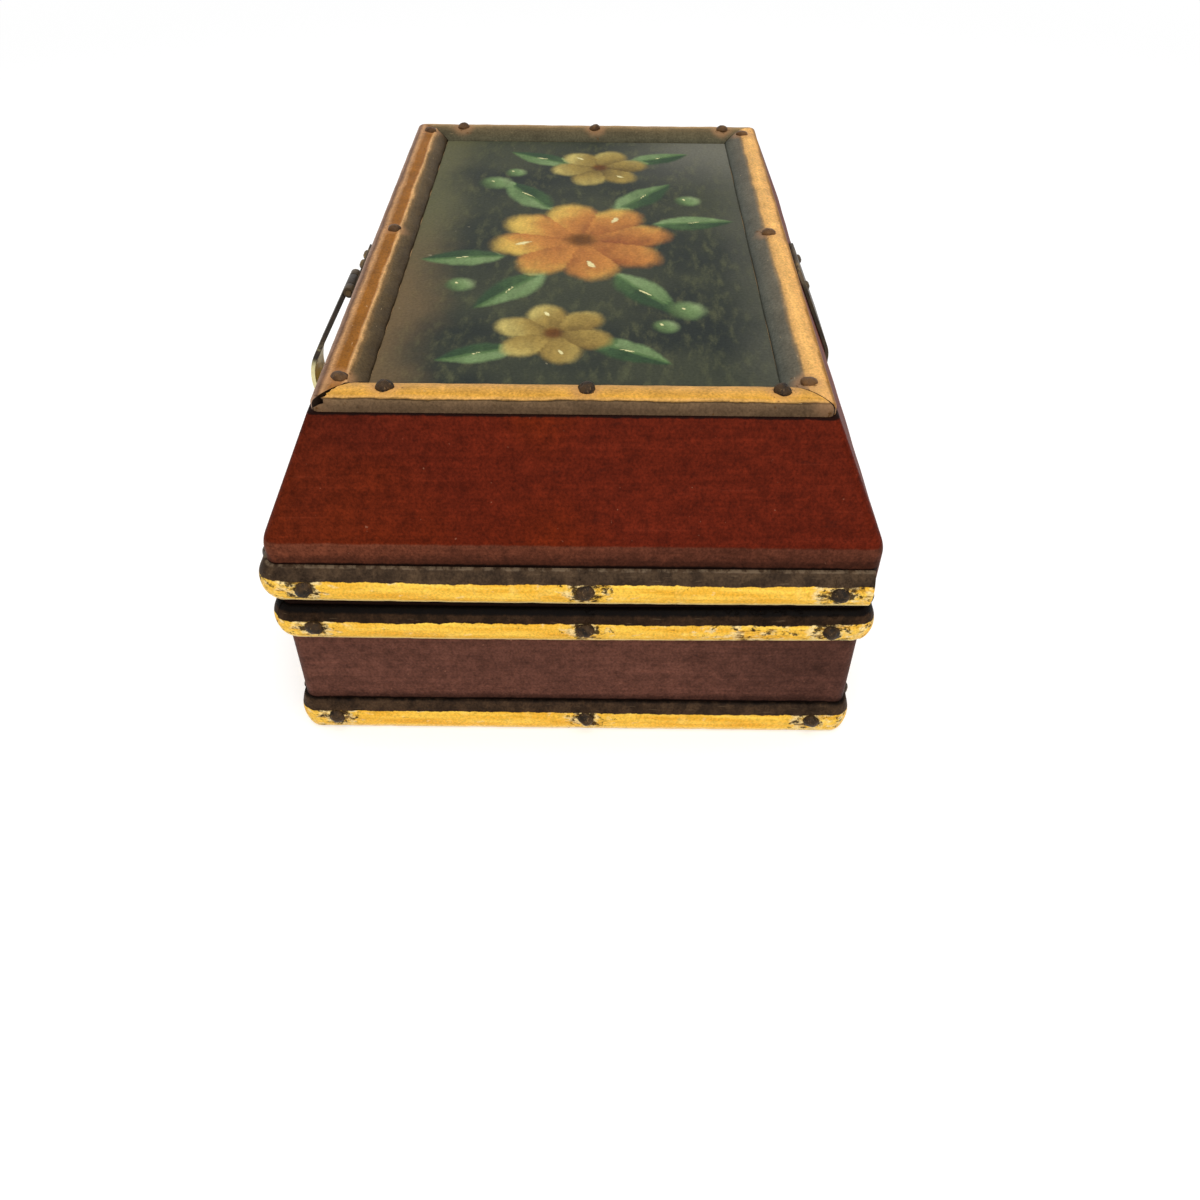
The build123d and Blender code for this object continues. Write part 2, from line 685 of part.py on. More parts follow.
# Staple: a plate on the base with a pierced lug that stands through the hasp's slot
plate_face_y = -(base_half_width + STAPLE_PLATE)
lug_tip_y = tail_y + HASP_THICKNESS / 2 + STAPLE_TIP_GAP
plate_outline = Plane.XZ * Pos(0, staple_z) * RectangleRounded(
    STAPLE_PLATE_WIDTH, STAPLE_PLATE_HEIGHT, PIN_RADIUS
)
staple = Pos(0, -base_half_width, 0) * extrude(plate_outline, STAPLE_PLATE)
lug_bar = Plane.YZ * Pos((plate_face_y + lug_tip_y) / 2, staple_z) * Rectangle(
    abs(lug_tip_y - plate_face_y), STAPLE_LUG_HEIGHT
)
lug = Pos(-STAPLE_LUG_THICKNESS / 2, 0, 0) * extrude(lug_bar, STAPLE_LUG_THICKNESS)
nose_edges = [
    edge
    for edge in lug.edges().filter_by(Axis.X)
    if abs(edge.center().Y - lug_tip_y) < 0.01
]
lug = fillet(nose_edges, STAPLE_NOSE_RADIUS)
lug = lug - centred_rod(
    STAPLE_HOLE_RADIUS, LENGTH, (plate_face_y + lug_tip_y) / 2, staple_z
)
staple = staple + lug
staple_pins = [
    on_side("front", x, base_half_width + STAPLE_PLATE, staple_z) * pin
    for x in (-STAPLE_PIN_SPACING / 2, STAPLE_PIN_SPACING / 2)
]
parts["staple"] = [staple]
parts["staple_pins"] = staple_pins
drive(staple_pins, "staple", "base_front_wall")

for name, shapes in parts.items():
    pieces = solids_of(shapes)
    model = pieces[0] if len(pieces) == 1 else Compound(pieces)
    export_step(model, f"parts/{name}.step")
    print(name, len(pieces), "solid", round(sum(piece.volume for piece in pieces), 1), "mm3")

print("hinge axis y", round(hinge_y, 3), "z", round(hinge_z, 3))
print("hasp axis y", round(pivot_y, 3), "z", round(pivot_z, 3))
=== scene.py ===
import math

import bpy
import numpy as np
from mathutils import Matrix, Vector


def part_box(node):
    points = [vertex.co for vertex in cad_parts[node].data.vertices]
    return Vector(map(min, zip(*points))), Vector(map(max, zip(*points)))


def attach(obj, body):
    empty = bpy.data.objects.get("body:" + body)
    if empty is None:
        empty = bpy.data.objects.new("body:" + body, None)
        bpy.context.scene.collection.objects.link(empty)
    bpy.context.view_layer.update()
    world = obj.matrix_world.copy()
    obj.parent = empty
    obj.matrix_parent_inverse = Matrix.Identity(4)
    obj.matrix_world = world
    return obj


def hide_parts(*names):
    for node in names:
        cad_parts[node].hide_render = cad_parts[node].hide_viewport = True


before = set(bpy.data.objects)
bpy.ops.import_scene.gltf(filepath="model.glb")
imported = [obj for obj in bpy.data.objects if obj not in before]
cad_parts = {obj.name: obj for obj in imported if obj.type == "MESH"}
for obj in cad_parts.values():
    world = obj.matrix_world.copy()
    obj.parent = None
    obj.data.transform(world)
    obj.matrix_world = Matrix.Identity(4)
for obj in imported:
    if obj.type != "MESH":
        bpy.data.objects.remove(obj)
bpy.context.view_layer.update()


# Base boards.
# Four mitred softwood boards, brushed with maroon paint outside and left bare inside. Their
# upright corners are rounded by hand, and no face is quite flat.
MM = 0.001
QUARTER_TURNS = {"front": 0, "right": 90, "back": 180, "left": 270}
BOARD_THICKNESS = 9.0
BOARD_EDGE = 0.5
CORNER_RADIUS = 3.0
INNER_CORNER_RADIUS = 0.3
BOARD_WAVINESS = 0.14
PAINT_SHEEN = 0.025
CRISP = 0.93
SOFT_SHADE = 0.5
COLUMN_STEP = 3.0
SHARP_FROM = 38
MITRE_FADE = 8
RIM_PAINTED = 2.2
RIM_BARE = 3.4
FOOT_STRIP_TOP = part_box("foot_strip_front")[1].z
base_half = (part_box("base_right_wall")[1].x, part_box("base_back_wall")[1].y)
base_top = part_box("base_front_wall")[1].z


def along_and_out(side, half):
    """Half run along a side, and that side's distance from the middle."""
    return (half[0], half[1]) if side in ("front", "back") else (half[1], half[0])


def stacked(*values):
    """Arrays or numbers spread to one shape and joined along a last axis."""
    return np.stack(np.broadcast_arrays(*values), axis=-1)


def turned(side, along, outward, height):
    """A side's own (along, outward, height) turned about Z into place; the front faces -Y."""
    angle = math.radians(QUARTER_TURNS[side])
    cosine, sine = round(math.cos(angle)), round(math.sin(angle))
    x = cosine * along + sine * outward
    y = sine * along - cosine * outward
    return stacked(x, y, height)


def columns_between(count, bends=5, start=-1.0, end=1.0):
    """Places along a side: a share of its straight stretch, and the angle turned through.

    An end at -1 or 1 goes on round the corner by 45 degrees, to the mitre.
    """
    share = np.linspace(start, end, count)
    bend = np.zeros(count)
    quarter = np.linspace(0, math.radians(45), bends + 1)[1:]
    if start == -1.0:
        share = np.concatenate([np.full(bends, start), share])
        bend = np.concatenate([-quarter[::-1], bend])
    if end == 1.0:
        share = np.concatenate([share, np.full(bends, end)])
        bend = np.concatenate([bend, quarter])
    return share, bend


def seen_from_above(run, out, inset, radius, share, bend):
    """A side's rows and columns in plan, with rounded corners.

    along = share x (run - inset - radius) + radius x sin(bend)
    outward = out - inset - radius + radius x cos(bend)
    """
    along = share * (run - inset - radius) + radius * np.sin(bend)
    outward = out - inset - radius + radius * np.cos(bend)
    return along, outward


def uneven(along, height, seed, waves=(90.0, 47.0, 23.0)):
    """Handmade waviness from -1 to 1: the mean of sin(along) x cos(height) at each wave length."""
    draw = np.random.default_rng(seed)
    total = 0.0
    for wave in waves:
        turn = 2 * math.pi / (wave * MM)
        shift = draw.uniform(0, 2 * math.pi, 2)
        total = total + np.sin(turn * along + shift[0]) * np.cos(turn * height + shift[1])
    return total / len(waves)


def outward_mesh(name, points, faces, place=None, **fields):
    """Closed mesh from points and faces, turned inside out if its volume comes out negative.

    place is a flat (u, v) for each point, and fields are float attributes of the points.
    """
    mesh = bpy.data.meshes.new(name)
    mesh.from_pydata(points.reshape(-1, 3).tolist(), [], faces)
    mesh.calc_loop_triangles()
    corners = np.zeros(len(mesh.loop_triangles) * 3, dtype=int)
    mesh.loop_triangles.foreach_get("vertices", corners)
    a, b, c = np.moveaxis(points.reshape(-1, 3)[corners.reshape(-1, 3)], 1, 0)
    if np.einsum("ij,ij->", a, np.cross(b, c)) < 0:
        mesh.flip_normals()
    if place is not None:
        vertex = np.zeros(len(mesh.loops), dtype=int)
        mesh.loops.foreach_get("vertex_index", vertex)
        layer = mesh.uv_layers.new(name="UVMap")
        layer.data.foreach_set("uv", place.reshape(-1, 2)[vertex].astype(np.float32).ravel())
    for field, values in fields.items():
        attribute = mesh.attributes.new(field, "FLOAT", "POINT")
        attribute.data.foreach_set("value", values.astype(np.float32).ravel())
    mesh.shade_smooth()
    mesh.set_sharp_from_angle(angle=math.radians(SHARP_FROM))
    return mesh


def quads_over(index, ring=False):
    """Quads between neighbours in a grid of point numbers, whose rows may close into rings."""
    if ring:
        index = np.hstack([index, index[:, :1]])
    corners = [index[:-1, :-1], index[1:, :-1], index[1:, 1:], index[:-1, 1:]]
    return stacked(*corners).reshape(-1, 4).tolist()


def carried(points):
    """Faces over a grid of points: rows go round a section, columns go along the piece."""
    index = np.arange(points[..., 0].size).reshape(points.shape[:2])
    faces = quads_over(np.vstack([index, index[:1]]))
    return faces + [index[::-1, 0].tolist(), index[:, -1].tolist()]


def linked(name, data):
    """A new object in the scene for a mesh, lamp or camera."""
    made = bpy.data.objects.new(name, data)
    bpy.context.scene.collection.objects.link(made)
    return made


def piece(mesh, body, finish, slot, *nodes):
    """Puts a finished mesh on its body, in place of the CAD nodes that it stands for."""
    made = linked(mesh.name, mesh)
    mesh.materials.append(finish)
    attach(made, body)
    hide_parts(*nodes)


def board(name, side, half, profile, seed, worn):
    """Mitred board: a closed profile of (inset, height, corner radius, painted) carried along.

    Painted rows sink by up to twice the waviness, fading out towards the mitres. worn tells
    how rubbed a point is, from how far round a corner it is, 0 to 1, and its height.
    """
    run, out = along_and_out(side, half)
    inset, height, radius, painted = (np.array(profile) * [MM, MM, MM, 1]).T[:, :, None]
    share, bend = columns_between(int(2 * run / (COLUMN_STEP * MM)))
    fade = np.clip((1 - np.abs(share)) * MITRE_FADE, 0, 1)
    sink = BOARD_WAVINESS * MM * (1 + uneven(share * run, height, seed)) * fade * painted
    along, outward = seen_from_above(run, out, inset + sink, radius, share, bend)
    height = np.broadcast_to(height, along.shape)
    points = turned(side, along, outward, height)
    steps = np.hypot(np.diff(inset[:, 0]), np.diff(height[:, 0]))
    climb = np.concatenate([[0], np.cumsum(steps)])[:, None]
    length = np.arange(len(share)) / (len(share) - 1) * 2 * run
    painted = np.broadcast_to(painted, along.shape)
    return outward_mesh(name, points, carried(points), stacked(length, climb), painted=painted,
                        worn=worn(np.abs(bend) / math.radians(45), height))


class Finish:
    """A procedural material or world, wired by short calls. Colours are 0 to 255 as on a screen."""

    def __init__(self, name, store="materials", shader="Principled BSDF", **sockets):
        self.block = getattr(bpy.data, store).new(name)
        self.block.use_nodes = True
        self.tree = self.block.node_tree
        self.skin = self.tree.nodes[shader]
        self.solid = self.where()
        self.give(**sockets)

    def give(self, **sockets):
        """Feeds the shader's own sockets, with _ for a space in a socket's name."""
        for socket, value in sockets.items():
            self.feed(self.skin.inputs[socket.replace("_", " ")], value)

    def feed(self, socket, value):
        """Links or sets a socket; three numbers for a colour are a screen colour."""
        if isinstance(value, bpy.types.NodeSocket):
            self.tree.links.new(value, socket)
        elif socket.type == "RGBA" and len(value) == 3:
            socket.default_value = self.linear(value)
        else:
            socket.default_value = value

    def node(self, kind, inputs, output=0, **settings):
        made = self.tree.nodes.new("ShaderNode" + kind)
        for setting, value in settings.items():
            setattr(made, setting, value)
        for socket, value in inputs.items():
            self.feed(made.inputs[socket], value)
        return made.outputs[output]

    def linear(self, screen):
        """Screen colour as the linear light that a shader takes."""
        share = np.array(screen) / 255
        light = np.where(share > 0.04045, ((share + 0.055) / 1.055) ** 2.4, share / 12.92)
        return (*light.tolist(), 1.0)

    def where(self, kind="Object", stretch=(1, 1, 1), turn=0.0):
        """Object or UV coordinates, stretched and turned about Z."""
        values = {"Vector": self.node("TexCoord", {}, kind), "Scale": stretch,
                  "Rotation": (0, 0, math.radians(turn))}
        return self.node("Mapping", values)

    def axis(self, letter, kind="Object"):
        return self.node("SeparateXYZ", {0: self.where(kind)}, letter)

    def field(self, name):
        """A float attribute of the mesh."""
        return self.node("Attribute", {}, "Fac", attribute_name=name)

    def noise(self, scale, detail=4.0, rough=0.6, place=None):
        """Cloudy value from 0 to 1, with so many features to a metre."""
        values = {"Vector": place or self.solid, "Scale": scale, "Detail": detail,
                  "Roughness": rough}
        return self.node("TexNoise", values, "Fac")

    def flow(self, along, across, detail=4.0, rough=0.6):
        """Noise drawn out along a piece, with so many features to a metre of its UV map."""
        return self.noise(1.0, detail, rough, self.where("UV", (along, across, 1)))

    def calc(self, operation, first, second=0.0):
        return self.node("Math", {0: first, 1: second}, operation=operation)

    def plus(self, first, second, share=1.0):
        """First plus a share of second."""
        return self.node("Math", {0: second, 1: share, 2: first}, operation="MULTIPLY_ADD")

    def grade(self, value, low, high):
        """Smooth step from 0 at low to 1 at high."""
        values = {"Value": value, "From Min": low, "From Max": high}
        return self.node("MapRange", values, interpolation_type="SMOOTHSTEP")

    def mix(self, share, first, second):
        return self.node("Mix", {0: share, 6: first, 7: second}, 2, data_type="RGBA")

    def scaled(self, value, low, high):
        """Value from 0 to 1 spread between low and high."""
        return self.node("MapRange", {"Value": value, "To Min": low, "To Max": high})

    def shaded(self, colour, *shades):
        """Colour times greys; each shade is (value, grey where value is 0, grey where it is 1)."""
        for value, low, high in shades:
            inputs = {0: colour, 1: self.scaled(value, low, high)}
            colour = self.node("VectorMath", inputs, operation="MULTIPLY")
        return colour

    def near(self, value, middle, reach):
        """1 where value is close to middle, falling to 0 at reach from it."""
        away = self.calc("SUBTRACT", value, middle)
        return self.grade(self.calc("ABSOLUTE", away), reach, 0.35 * reach)

    def ramp(self, value, stops):
        """Colour that passes through (place, red, green, blue) as value goes from 0 to 1."""
        colour = self.node("ValToRGB", {0: value})
        ends = colour.node.color_ramp.elements
        for number, (place, *screen) in enumerate(stops):
            stop = ends[number] if number < 2 else ends.new(place)
            stop.position = place
            stop.color = self.linear(screen)
        return colour

    def over(self, under, share, strength, red, green, blue):
        """Lays one screen colour over another by a share times a strength."""
        return self.mix(self.calc("MULTIPLY", share, strength), under, (red, green, blue))

    def stained(self, under, *stains):
        """Lays on colours, each (value, low, high, strength, red, green, blue)."""
        for value, low, high, *stain in stains:
            under = self.over(under, self.grade(value, low, high), *stain)
        return under

    def ragged(self, edge, scale, amount, detail=4.0, place=None):
        """An edge value roughened by noise, for paint lines and flakes."""
        shake = self.calc("SUBTRACT", self.noise(scale, detail, 0.65, place), 0.5)
        return self.plus(edge, shake, amount)

    def wear(self, bump, depth, colour, roughness):
        """Wires height, colour and roughness to the shader and gives back the material."""
        normal = self.node("Bump", {"Height": bump, "Distance": depth, "Strength": 1.0})
        self.give(Normal=normal, Base_Color=colour, Roughness=roughness)
        return self.block


def brushed_paint(name, dull, warm, lines, glow=None):
    """Thin paint brushed along a board: streaks, cloudy tone, and dark lines along its joints.

    lines holds (height, reach, strength) of the dark lines: painted shade in the gaps and under
    the strips, and at the joints partly dark paint, partly painted shade. Where the painted field
    is 0 the wood is bare, and where worn is high the paint is rubbed pale. glow is (height, dull,
    warm) of a redder paint from that height up, duller in front.
    """
    paint = Finish(name, Specular_IOR_Level=PAINT_SHEEN)
    height = paint.axis("Z")
    grain = paint.flow(26, 620, 4.0, 0.62)
    marks = paint.noise(330.0, 4.0, 0.62)
    fine = paint.noise(1500.0, 3.0)
    shade = paint.grade(paint.noise(13.0, 3.0, 0.5), 0.36, 0.60)
    coat = paint.mix(shade, dull, warm)
    if glow:
        upper = paint.grade(paint.ragged(height, 420.0, 0.0008), glow[0], glow[0] + 0.0007)
        red = paint.mix(shade, glow[1], glow[2])
        red = paint.stained(red, (paint.axis("Y"), -0.015, -0.075, 0.3, 62, 28, 20))
        coat = paint.mix(upper, coat, red)
    coat = paint.shaded(coat, (grain, 0.55, 1.45), (marks, 0.3, 1.7), (fine, 0.2, 1.8))
    coat = paint.stained(coat, (grain, 0.60, 0.80, 0.14, 156, 74, 52),
                         (paint.flow(90, 260), 0.62, 0.80, 0.5, 34, 18, 14),
                         (paint.noise(700.0, 2.0, 0.5), 0.735, 0.80, 0.4, 172, 116, 90))
    # Dark lines: painted shade in the gaps and under the strips, and at the joints partly dark
    # paint, partly painted shade.
    for middle, reach, strength in lines:
        wander = paint.ragged(height, 380.0, 1.1 * reach)
        coat = paint.over(coat, paint.near(wander, middle, reach), strength, 14, 8, 6)
    # Pale rubbed paint where worn is high; along the lid's top arris it is partly a painted sheen.
    rub_and_sheen = paint.ragged(paint.field("worn"), 420.0, 1.3, 5.0)
    coat = paint.stained(coat, (rub_and_sheen, 0.86, 1.02, 0.6, 172, 132, 108))
    wood = paint.mix(paint.grade(paint.flow(10, 320), 0.3, 0.7), (176, 138, 96), (205, 170, 124))
    reach = paint.ragged(paint.field("painted"), 260.0, 0.35)
    skin = paint.mix(paint.grade(reach, 0.42, 0.52), wood, coat)
    return paint.wear(paint.plus(fine, grain, 0.7), 0.0001, skin, paint.scaled(marks, 0.36, 0.62))


def wall_profile(top):
    """Closed section of an upright board: outside up, across the rim and down the inside."""
    rows = [(BOARD_EDGE, 0.0, CORNER_RADIUS, 1), (0.0, BOARD_EDGE, CORNER_RADIUS, 1)]
    rows += [(0.0, z, CORNER_RADIUS, 1) for z in np.linspace(3, top - 3, 15)]
    rows += [(0.0, top - BOARD_EDGE, CORNER_RADIUS, 1), (BOARD_EDGE, top, CORNER_RADIUS, 1)]
    inner = INNER_CORNER_RADIUS
    rows += [(RIM_PAINTED, top, 1.2, 1), (RIM_BARE, top, inner, 0)]
    rows += [(BOARD_THICKNESS - BOARD_EDGE, top, inner, 0)]
    return rows + [(BOARD_THICKNESS, z, inner, 0) for z in np.linspace(top - BOARD_EDGE, 0, 6)]


def rubbed_corners(corner, height):
    """Worn where a board turns its corners, least at its middle."""
    return np.broadcast_to(0.42 * corner + 0.05, height.shape)


# Base lines: painted shade in the gap under the lid at the top; above the foot strip a thin dark
# line, partly dark paint and partly painted shade, under a soft painted shadow; and a thin painted
# shadow under the rim strip.
base_lines = [(base_top, 0.0045, CRISP), (FOOT_STRIP_TOP, 0.0008, CRISP),
              (FOOT_STRIP_TOP, 0.0032, SOFT_SHADE), (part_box("rim_strip_front")[0].z, 0.0005, CRISP)]
base_paint = brushed_paint("base_paint", dull=(80, 50, 41), warm=(96, 60, 49), lines=base_lines)
for number, side in enumerate(QUARTER_TURNS):
    profile = wall_profile(base_top / MM)
    mesh = board(f"base_{side}_board", side, base_half, profile, 11 + number, rubbed_corners)
    piece(mesh, "base", base_paint, "base_paint", f"base_{side}_wall")


# Base floor.
# A thin softwood board let in flush between the walls, bare on both faces.
# Its CAD solid has the right shape and only takes the wood's finish.
def bare_wood(name, pale, brown):
    """Planed softwood: long soft figure along X, fine pores and a few brown flecks."""
    wood = Finish(name, Specular_IOR_Level=0.2)
    figure = wood.noise(1.0, 5.0, place=wood.where(stretch=(8, 90, 90)))
    pores = wood.noise(1.0, 3.0, place=wood.where(stretch=(90, 1600, 1600)))
    skin = wood.mix(wood.grade(figure, 0.3, 0.72), pale, brown)
    skin = wood.mix(wood.scaled(pores, -0.2, 0.42), skin, (96, 66, 38))
    return wood.wear(wood.plus(figure, pores, 0.6), 0.0002, skin, wood.scaled(pores, 0.55, 0.75))


wood_finish = bare_wood("bare_wood", pale=(206, 172, 126), brown=(168, 126, 82))


def refinish(node, finish):
    """Gives a CAD node another finish; its shape and place stay."""
    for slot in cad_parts[node].material_slots:
        slot.material = finish


for node in ("base_floor", "lid_top_board"):
    refinish(node, wood_finish)


# Foot and rim strips of the base, and the lid's own strips.
# Half-round wooden mouldings nailed round the box. The lower and outer face is gilded, the
# upper flank is painted dark, and the gilding has flaked round the tacks and at the corners.
STRIP_EDGE = 0.8
STRIP_EDGE_ROUND = 0.3
STRIP_WIDTH = 11.0
STRIP_STEP = 1.8
STRIP_ROUGHNESS = 0.10
STRIP_BEND_COLUMNS = 7
FOOT_CROWN = 2.0
STRIP_CROWN = 3.0
HINGE_STOP = 14.0
LID_BACK_STOP = 1.5
EDGE_TACKS = (11.5, 9.0, 9.5)
TACK_OFF_MIDDLE = 3.0
TACK_BY_HINGE = 22.0
FLAKE_REACH = 6.2
CORNER_WEAR_REACH = 9.0
WORN_PATCH_MIDDLE = 46.0
WORN_PATCH_REACH = 20.0
WORN_PATCH_DEPTH = 0.6
LEVEL = (0.0, 0.0)
lid_half = (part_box("lid_right_rail")[1].x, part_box("lid_back_rail")[1].y)


def half_round(crown):
    """Section of a strip as (outward, height) in millimetres, closed along its flat back.

    outward = edge + sqrt(radius^2 - (height - width / 2)^2) - radius + rise, on the round face.
    """
    rise = crown - STRIP_EDGE
    half = STRIP_WIDTH / 2
    radius = (half**2 + rise**2) / (2 * rise)
    height = np.linspace(STRIP_EDGE_ROUND, STRIP_WIDTH - STRIP_EDGE_ROUND, 19)
    outward = STRIP_EDGE + np.sqrt(radius**2 - (height - half) ** 2) - radius + rise
    low = [(0.0, 0.0), (STRIP_EDGE - STRIP_EDGE_ROUND, 0.0)]
    high = [(STRIP_EDGE - STRIP_EDGE_ROUND, STRIP_WIDTH), (0.0, STRIP_WIDTH)]
    return np.array(low + list(zip(outward, height)) + high)


def tack_places(side, half, from_end, from_front, from_back):
    """Places of three tacks along a side, in metres from its middle.

    On a long side they stand in from its ends, and on a short one from its front and back.
    """
    if side in ("front", "back"):
        end = half[0] - from_end * MM
        return [-end, 0.0, end]
    places = [-half[1] + from_front * MM, TACK_OFF_MIDDLE * MM, half[1] - from_back * MM]
    return places if side == "right" else [-place for place in places]


def edge_strip(level, side, name, seed, tacks, line, sag=LEVEL, start=-1.0, end=1.0):
    """Half-round strip from mitre to mitre, or from a square stop.

    line is the height of its paint line. sag is (middle, lean): the strip dips at mid-length
    and leans from end to end, and a leaning one has a long worn patch near its higher end.
    """
    half, low, crown, body, gilding = LEVELS[level]
    run, out = along_and_out(side, half)
    section = half_round(crown) * MM
    rise, height = section[:, :1], section[:, 1:]
    count = int((end - start) * run / (STRIP_STEP * MM))
    share, bend = columns_between(count, STRIP_BEND_COLUMNS, start, end)
    proud = np.clip(rise / (STRIP_EDGE * MM), 0, 1)
    rough = STRIP_ROUGHNESS * MM * uneven(share * run, height, seed, (31.0, 13.0, 6.1)) * proud
    along, outward = seen_from_above(run, out, -rise, CORNER_RADIUS * MM + rise, share, bend)
    outward = outward + np.minimum(rough, 0.0) * 2
    dip = sag[0] * MM * (np.cos(share * math.pi / 2) - 0.5) - sag[1] * MM * share
    points = turned(side, along, outward, low + height - dip)
    length = np.concatenate([[0], np.cumsum(np.hypot(np.diff(along[8]), np.diff(outward[8])))])
    place = stacked(length, height)
    drift = 0.4 * uneven(along, 0 * along, seed + 7, (120.0, 70.0, 33.0))
    spots = np.array(tacks)[:, None, None]
    reach = np.hypot(along - spots, height - STRIP_WIDTH / 2 * MM) / (FLAKE_REACH * MM)
    corner = np.exp(-(((1 - np.abs(share)) * run / (CORNER_WEAR_REACH * MM)) ** 2)) * 0.5
    flaked = np.maximum(np.exp(-(reach**2)).max(axis=0), corner)
    if sag[1]:
        patch = np.exp(-(((along / MM - WORN_PATCH_MIDDLE) / WORN_PATCH_REACH) ** 2))
        flaked = np.maximum(flaked, WORN_PATCH_DEPTH * patch)
    mesh = outward_mesh(f"{level}_{name}_strip", points, carried(points), place,
                        above_line=height / MM - line + drift, flaked=flaked)
    piece(mesh, body, gilding, "gilt_strip", f"{level}_strip_{side}")


def gilded(name, dull, pale, shade_height, chalk=0.0):
    """Gold leaf and dark paint either side of a ragged line, flaked where flaked is high.

    dull and pale are the dark paint's colours. The upper edge is painted black from the given
    height up, as painted shade, and chalk is how strongly it is scuffed pale just there. A pale
    line along the lower edge is a painted highlight.
    """
    gild = Finish(name, Specular_IOR_Level=0.04)
    height = gild.axis("Y", "UV")
    streak = gild.flow(38, 420)
    mottle = gild.noise(240.0)
    fine = gild.noise(1500.0, 3.0)
    flaked = gild.field("flaked")
    leaf = gild.mix(gild.grade(streak, 0.34, 0.66), (236, 176, 54), (254, 207, 84))
    leaf = gild.stained(leaf, (mottle, 0.52, 0.74, 0.45, 252, 216, 116))
    # Painted highlight: a pale line along the strip's lower rounding.
    leaf = gild.over(leaf, gild.near(height, 0.0007, 0.0011), 0.6, 248, 226, 168)
    pale_at = gild.plus(gild.flow(260, 420, 4.0, 0.65), flaked, 0.24)
    leaf = gild.stained(leaf, (pale_at, 0.60, 0.74, 0.75, 246, 222, 164))
    leaf = gild.shaded(leaf, (fine, 0.45, 1.55))
    fleck_at = gild.plus(gild.flow(300, 620, 4.0, 0.65), flaked, 0.20)
    leaf = gild.stained(leaf, (fleck_at, 0.64, 0.78, 0.85, 122, 80, 28))
    flake_at = gild.noise(380.0, 5.0, 0.72, gild.where(stretch=(1, 1, 1.2)))
    flake = gild.grade(gild.plus(flake_at, flaked, 0.25), 0.68, 0.77)
    leaf = gild.over(leaf, flake, 0.95, 52, 36, 20)
    dark = gild.mix(gild.grade(mottle, 0.35, 0.7), dull, pale)
    dark = gild.shaded(dark, (fine, 0.15, 1.85))
    dark = gild.stained(dark, (gild.flow(160, 1700, 3.0), 0.62, 0.76, 0.35, 140, 118, 92))
    brow = gild.near(gild.ragged(height, 420.0, 0.0003), shade_height * MM, 0.0004)
    chalky = gild.grade(gild.flow(420, 900, 4.0, 0.65), 0.42, 0.60)
    dark = gild.over(dark, gild.calc("MULTIPLY", brow, chalky), chalk, 156, 134, 108)
    over = gild.grade(gild.ragged(gild.field("above_line"), 420.0, 1.3), -0.12, 0.12)
    skin = gild.mix(over, leaf, dark)
    # Painted shade: the strip's upper edge goes black from the given height up.
    top_edge_shade = gild.grade(gild.ragged(height, 420.0, 0.0012), shade_height * MM, (shade_height + 0.7) * MM)
    skin = gild.over(skin, top_edge_shade, 0.96, 8, 5, 4)
    relief = gild.plus(gild.calc("MULTIPLY", streak, 0.8), fine, 0.6)
    relief = gild.calc("SUBTRACT", relief, flake)
    covered = gild.calc("MAXIMUM", gild.calc("MAXIMUM", over, flake), top_edge_shade)
    gild.give(Metallic=gild.plus(0.3, covered, -0.3))
    return gild.wear(relief, 0.00016, skin, gild.scaled(streak, 0.38, 0.62))


# Each strip's upper edge goes black from its given height up, as painted shade. The rim strip's
# darker paint and lower black edge are painted shade under the lid strip.
foot_gilt = gilded("foot_strip_gilding", dull=(48, 35, 25), pale=(74, 55, 39), shade_height=10.5)
rim_gilt = gilded("rim_strip_gilding", dull=(36, 24, 14), pale=(58, 40, 26), shade_height=9.2)
lid_gilt = gilded("lid_strip_gilding", dull=(54, 41, 30), pale=(80, 62, 45), shade_height=11.0, chalk=0.35)
LEVELS = {
    "foot": (base_half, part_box("foot_strip_front")[0].z, FOOT_CROWN, "base", foot_gilt),
    "rim": (base_half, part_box("rim_strip_front")[0].z, STRIP_CROWN, "base", rim_gilt),
    "lid": (lid_half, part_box("lid_strip_front")[0].z, STRIP_CROWN, "lid", lid_gilt),
}
for number, side in enumerate(QUARTER_TURNS):
    tacks = tack_places(side, lid_half, *EDGE_TACKS)
    edge_strip("foot", side, side, 31 + number, tacks, line=7.5)
    if side == "back":
        stop = HINGE_STOP / (base_half[0] / MM - CORNER_RADIUS)
        near = TACK_BY_HINGE * MM
        edge_strip("rim", side, "back_left", 41, [near, tacks[2]], line=7.6, start=stop)
        edge_strip("rim", side, "back_right", 41, [tacks[0], -near], line=7.6, end=-stop)
        continue
    sag = (0.5, 0.35) if side == "right" else (0.3, 0.0)
    edge_strip("rim", side, side, 41 + number, tacks, line=7.3, sag=sag)
    stop = (lid_half[1] / MM - LID_BACK_STOP) / (lid_half[1] / MM - CORNER_RADIUS)
    ends = {"front": (-1.0, 1.0), "right": (-1.0, stop), "left": (-stop, 1.0)}
    edge_strip("lid", side, side, 51 + number, tacks, 7.7, (0.3, 0.0), *ends[side])


# Tacks of the edge strips.
# Hand-hammered iron tacks with lopsided domes, painted over in dark brown. Three to a strip,
# near its ends and its middle.
TACK_RADIUS = 2.5
TACK_DOME = 1.6
TACK_SINK = 0.5
TACK_RINGS = 6
TACK_SECTORS = 16
EDGE_TACK_LOOK = (0.95, 1.0, 0.0)


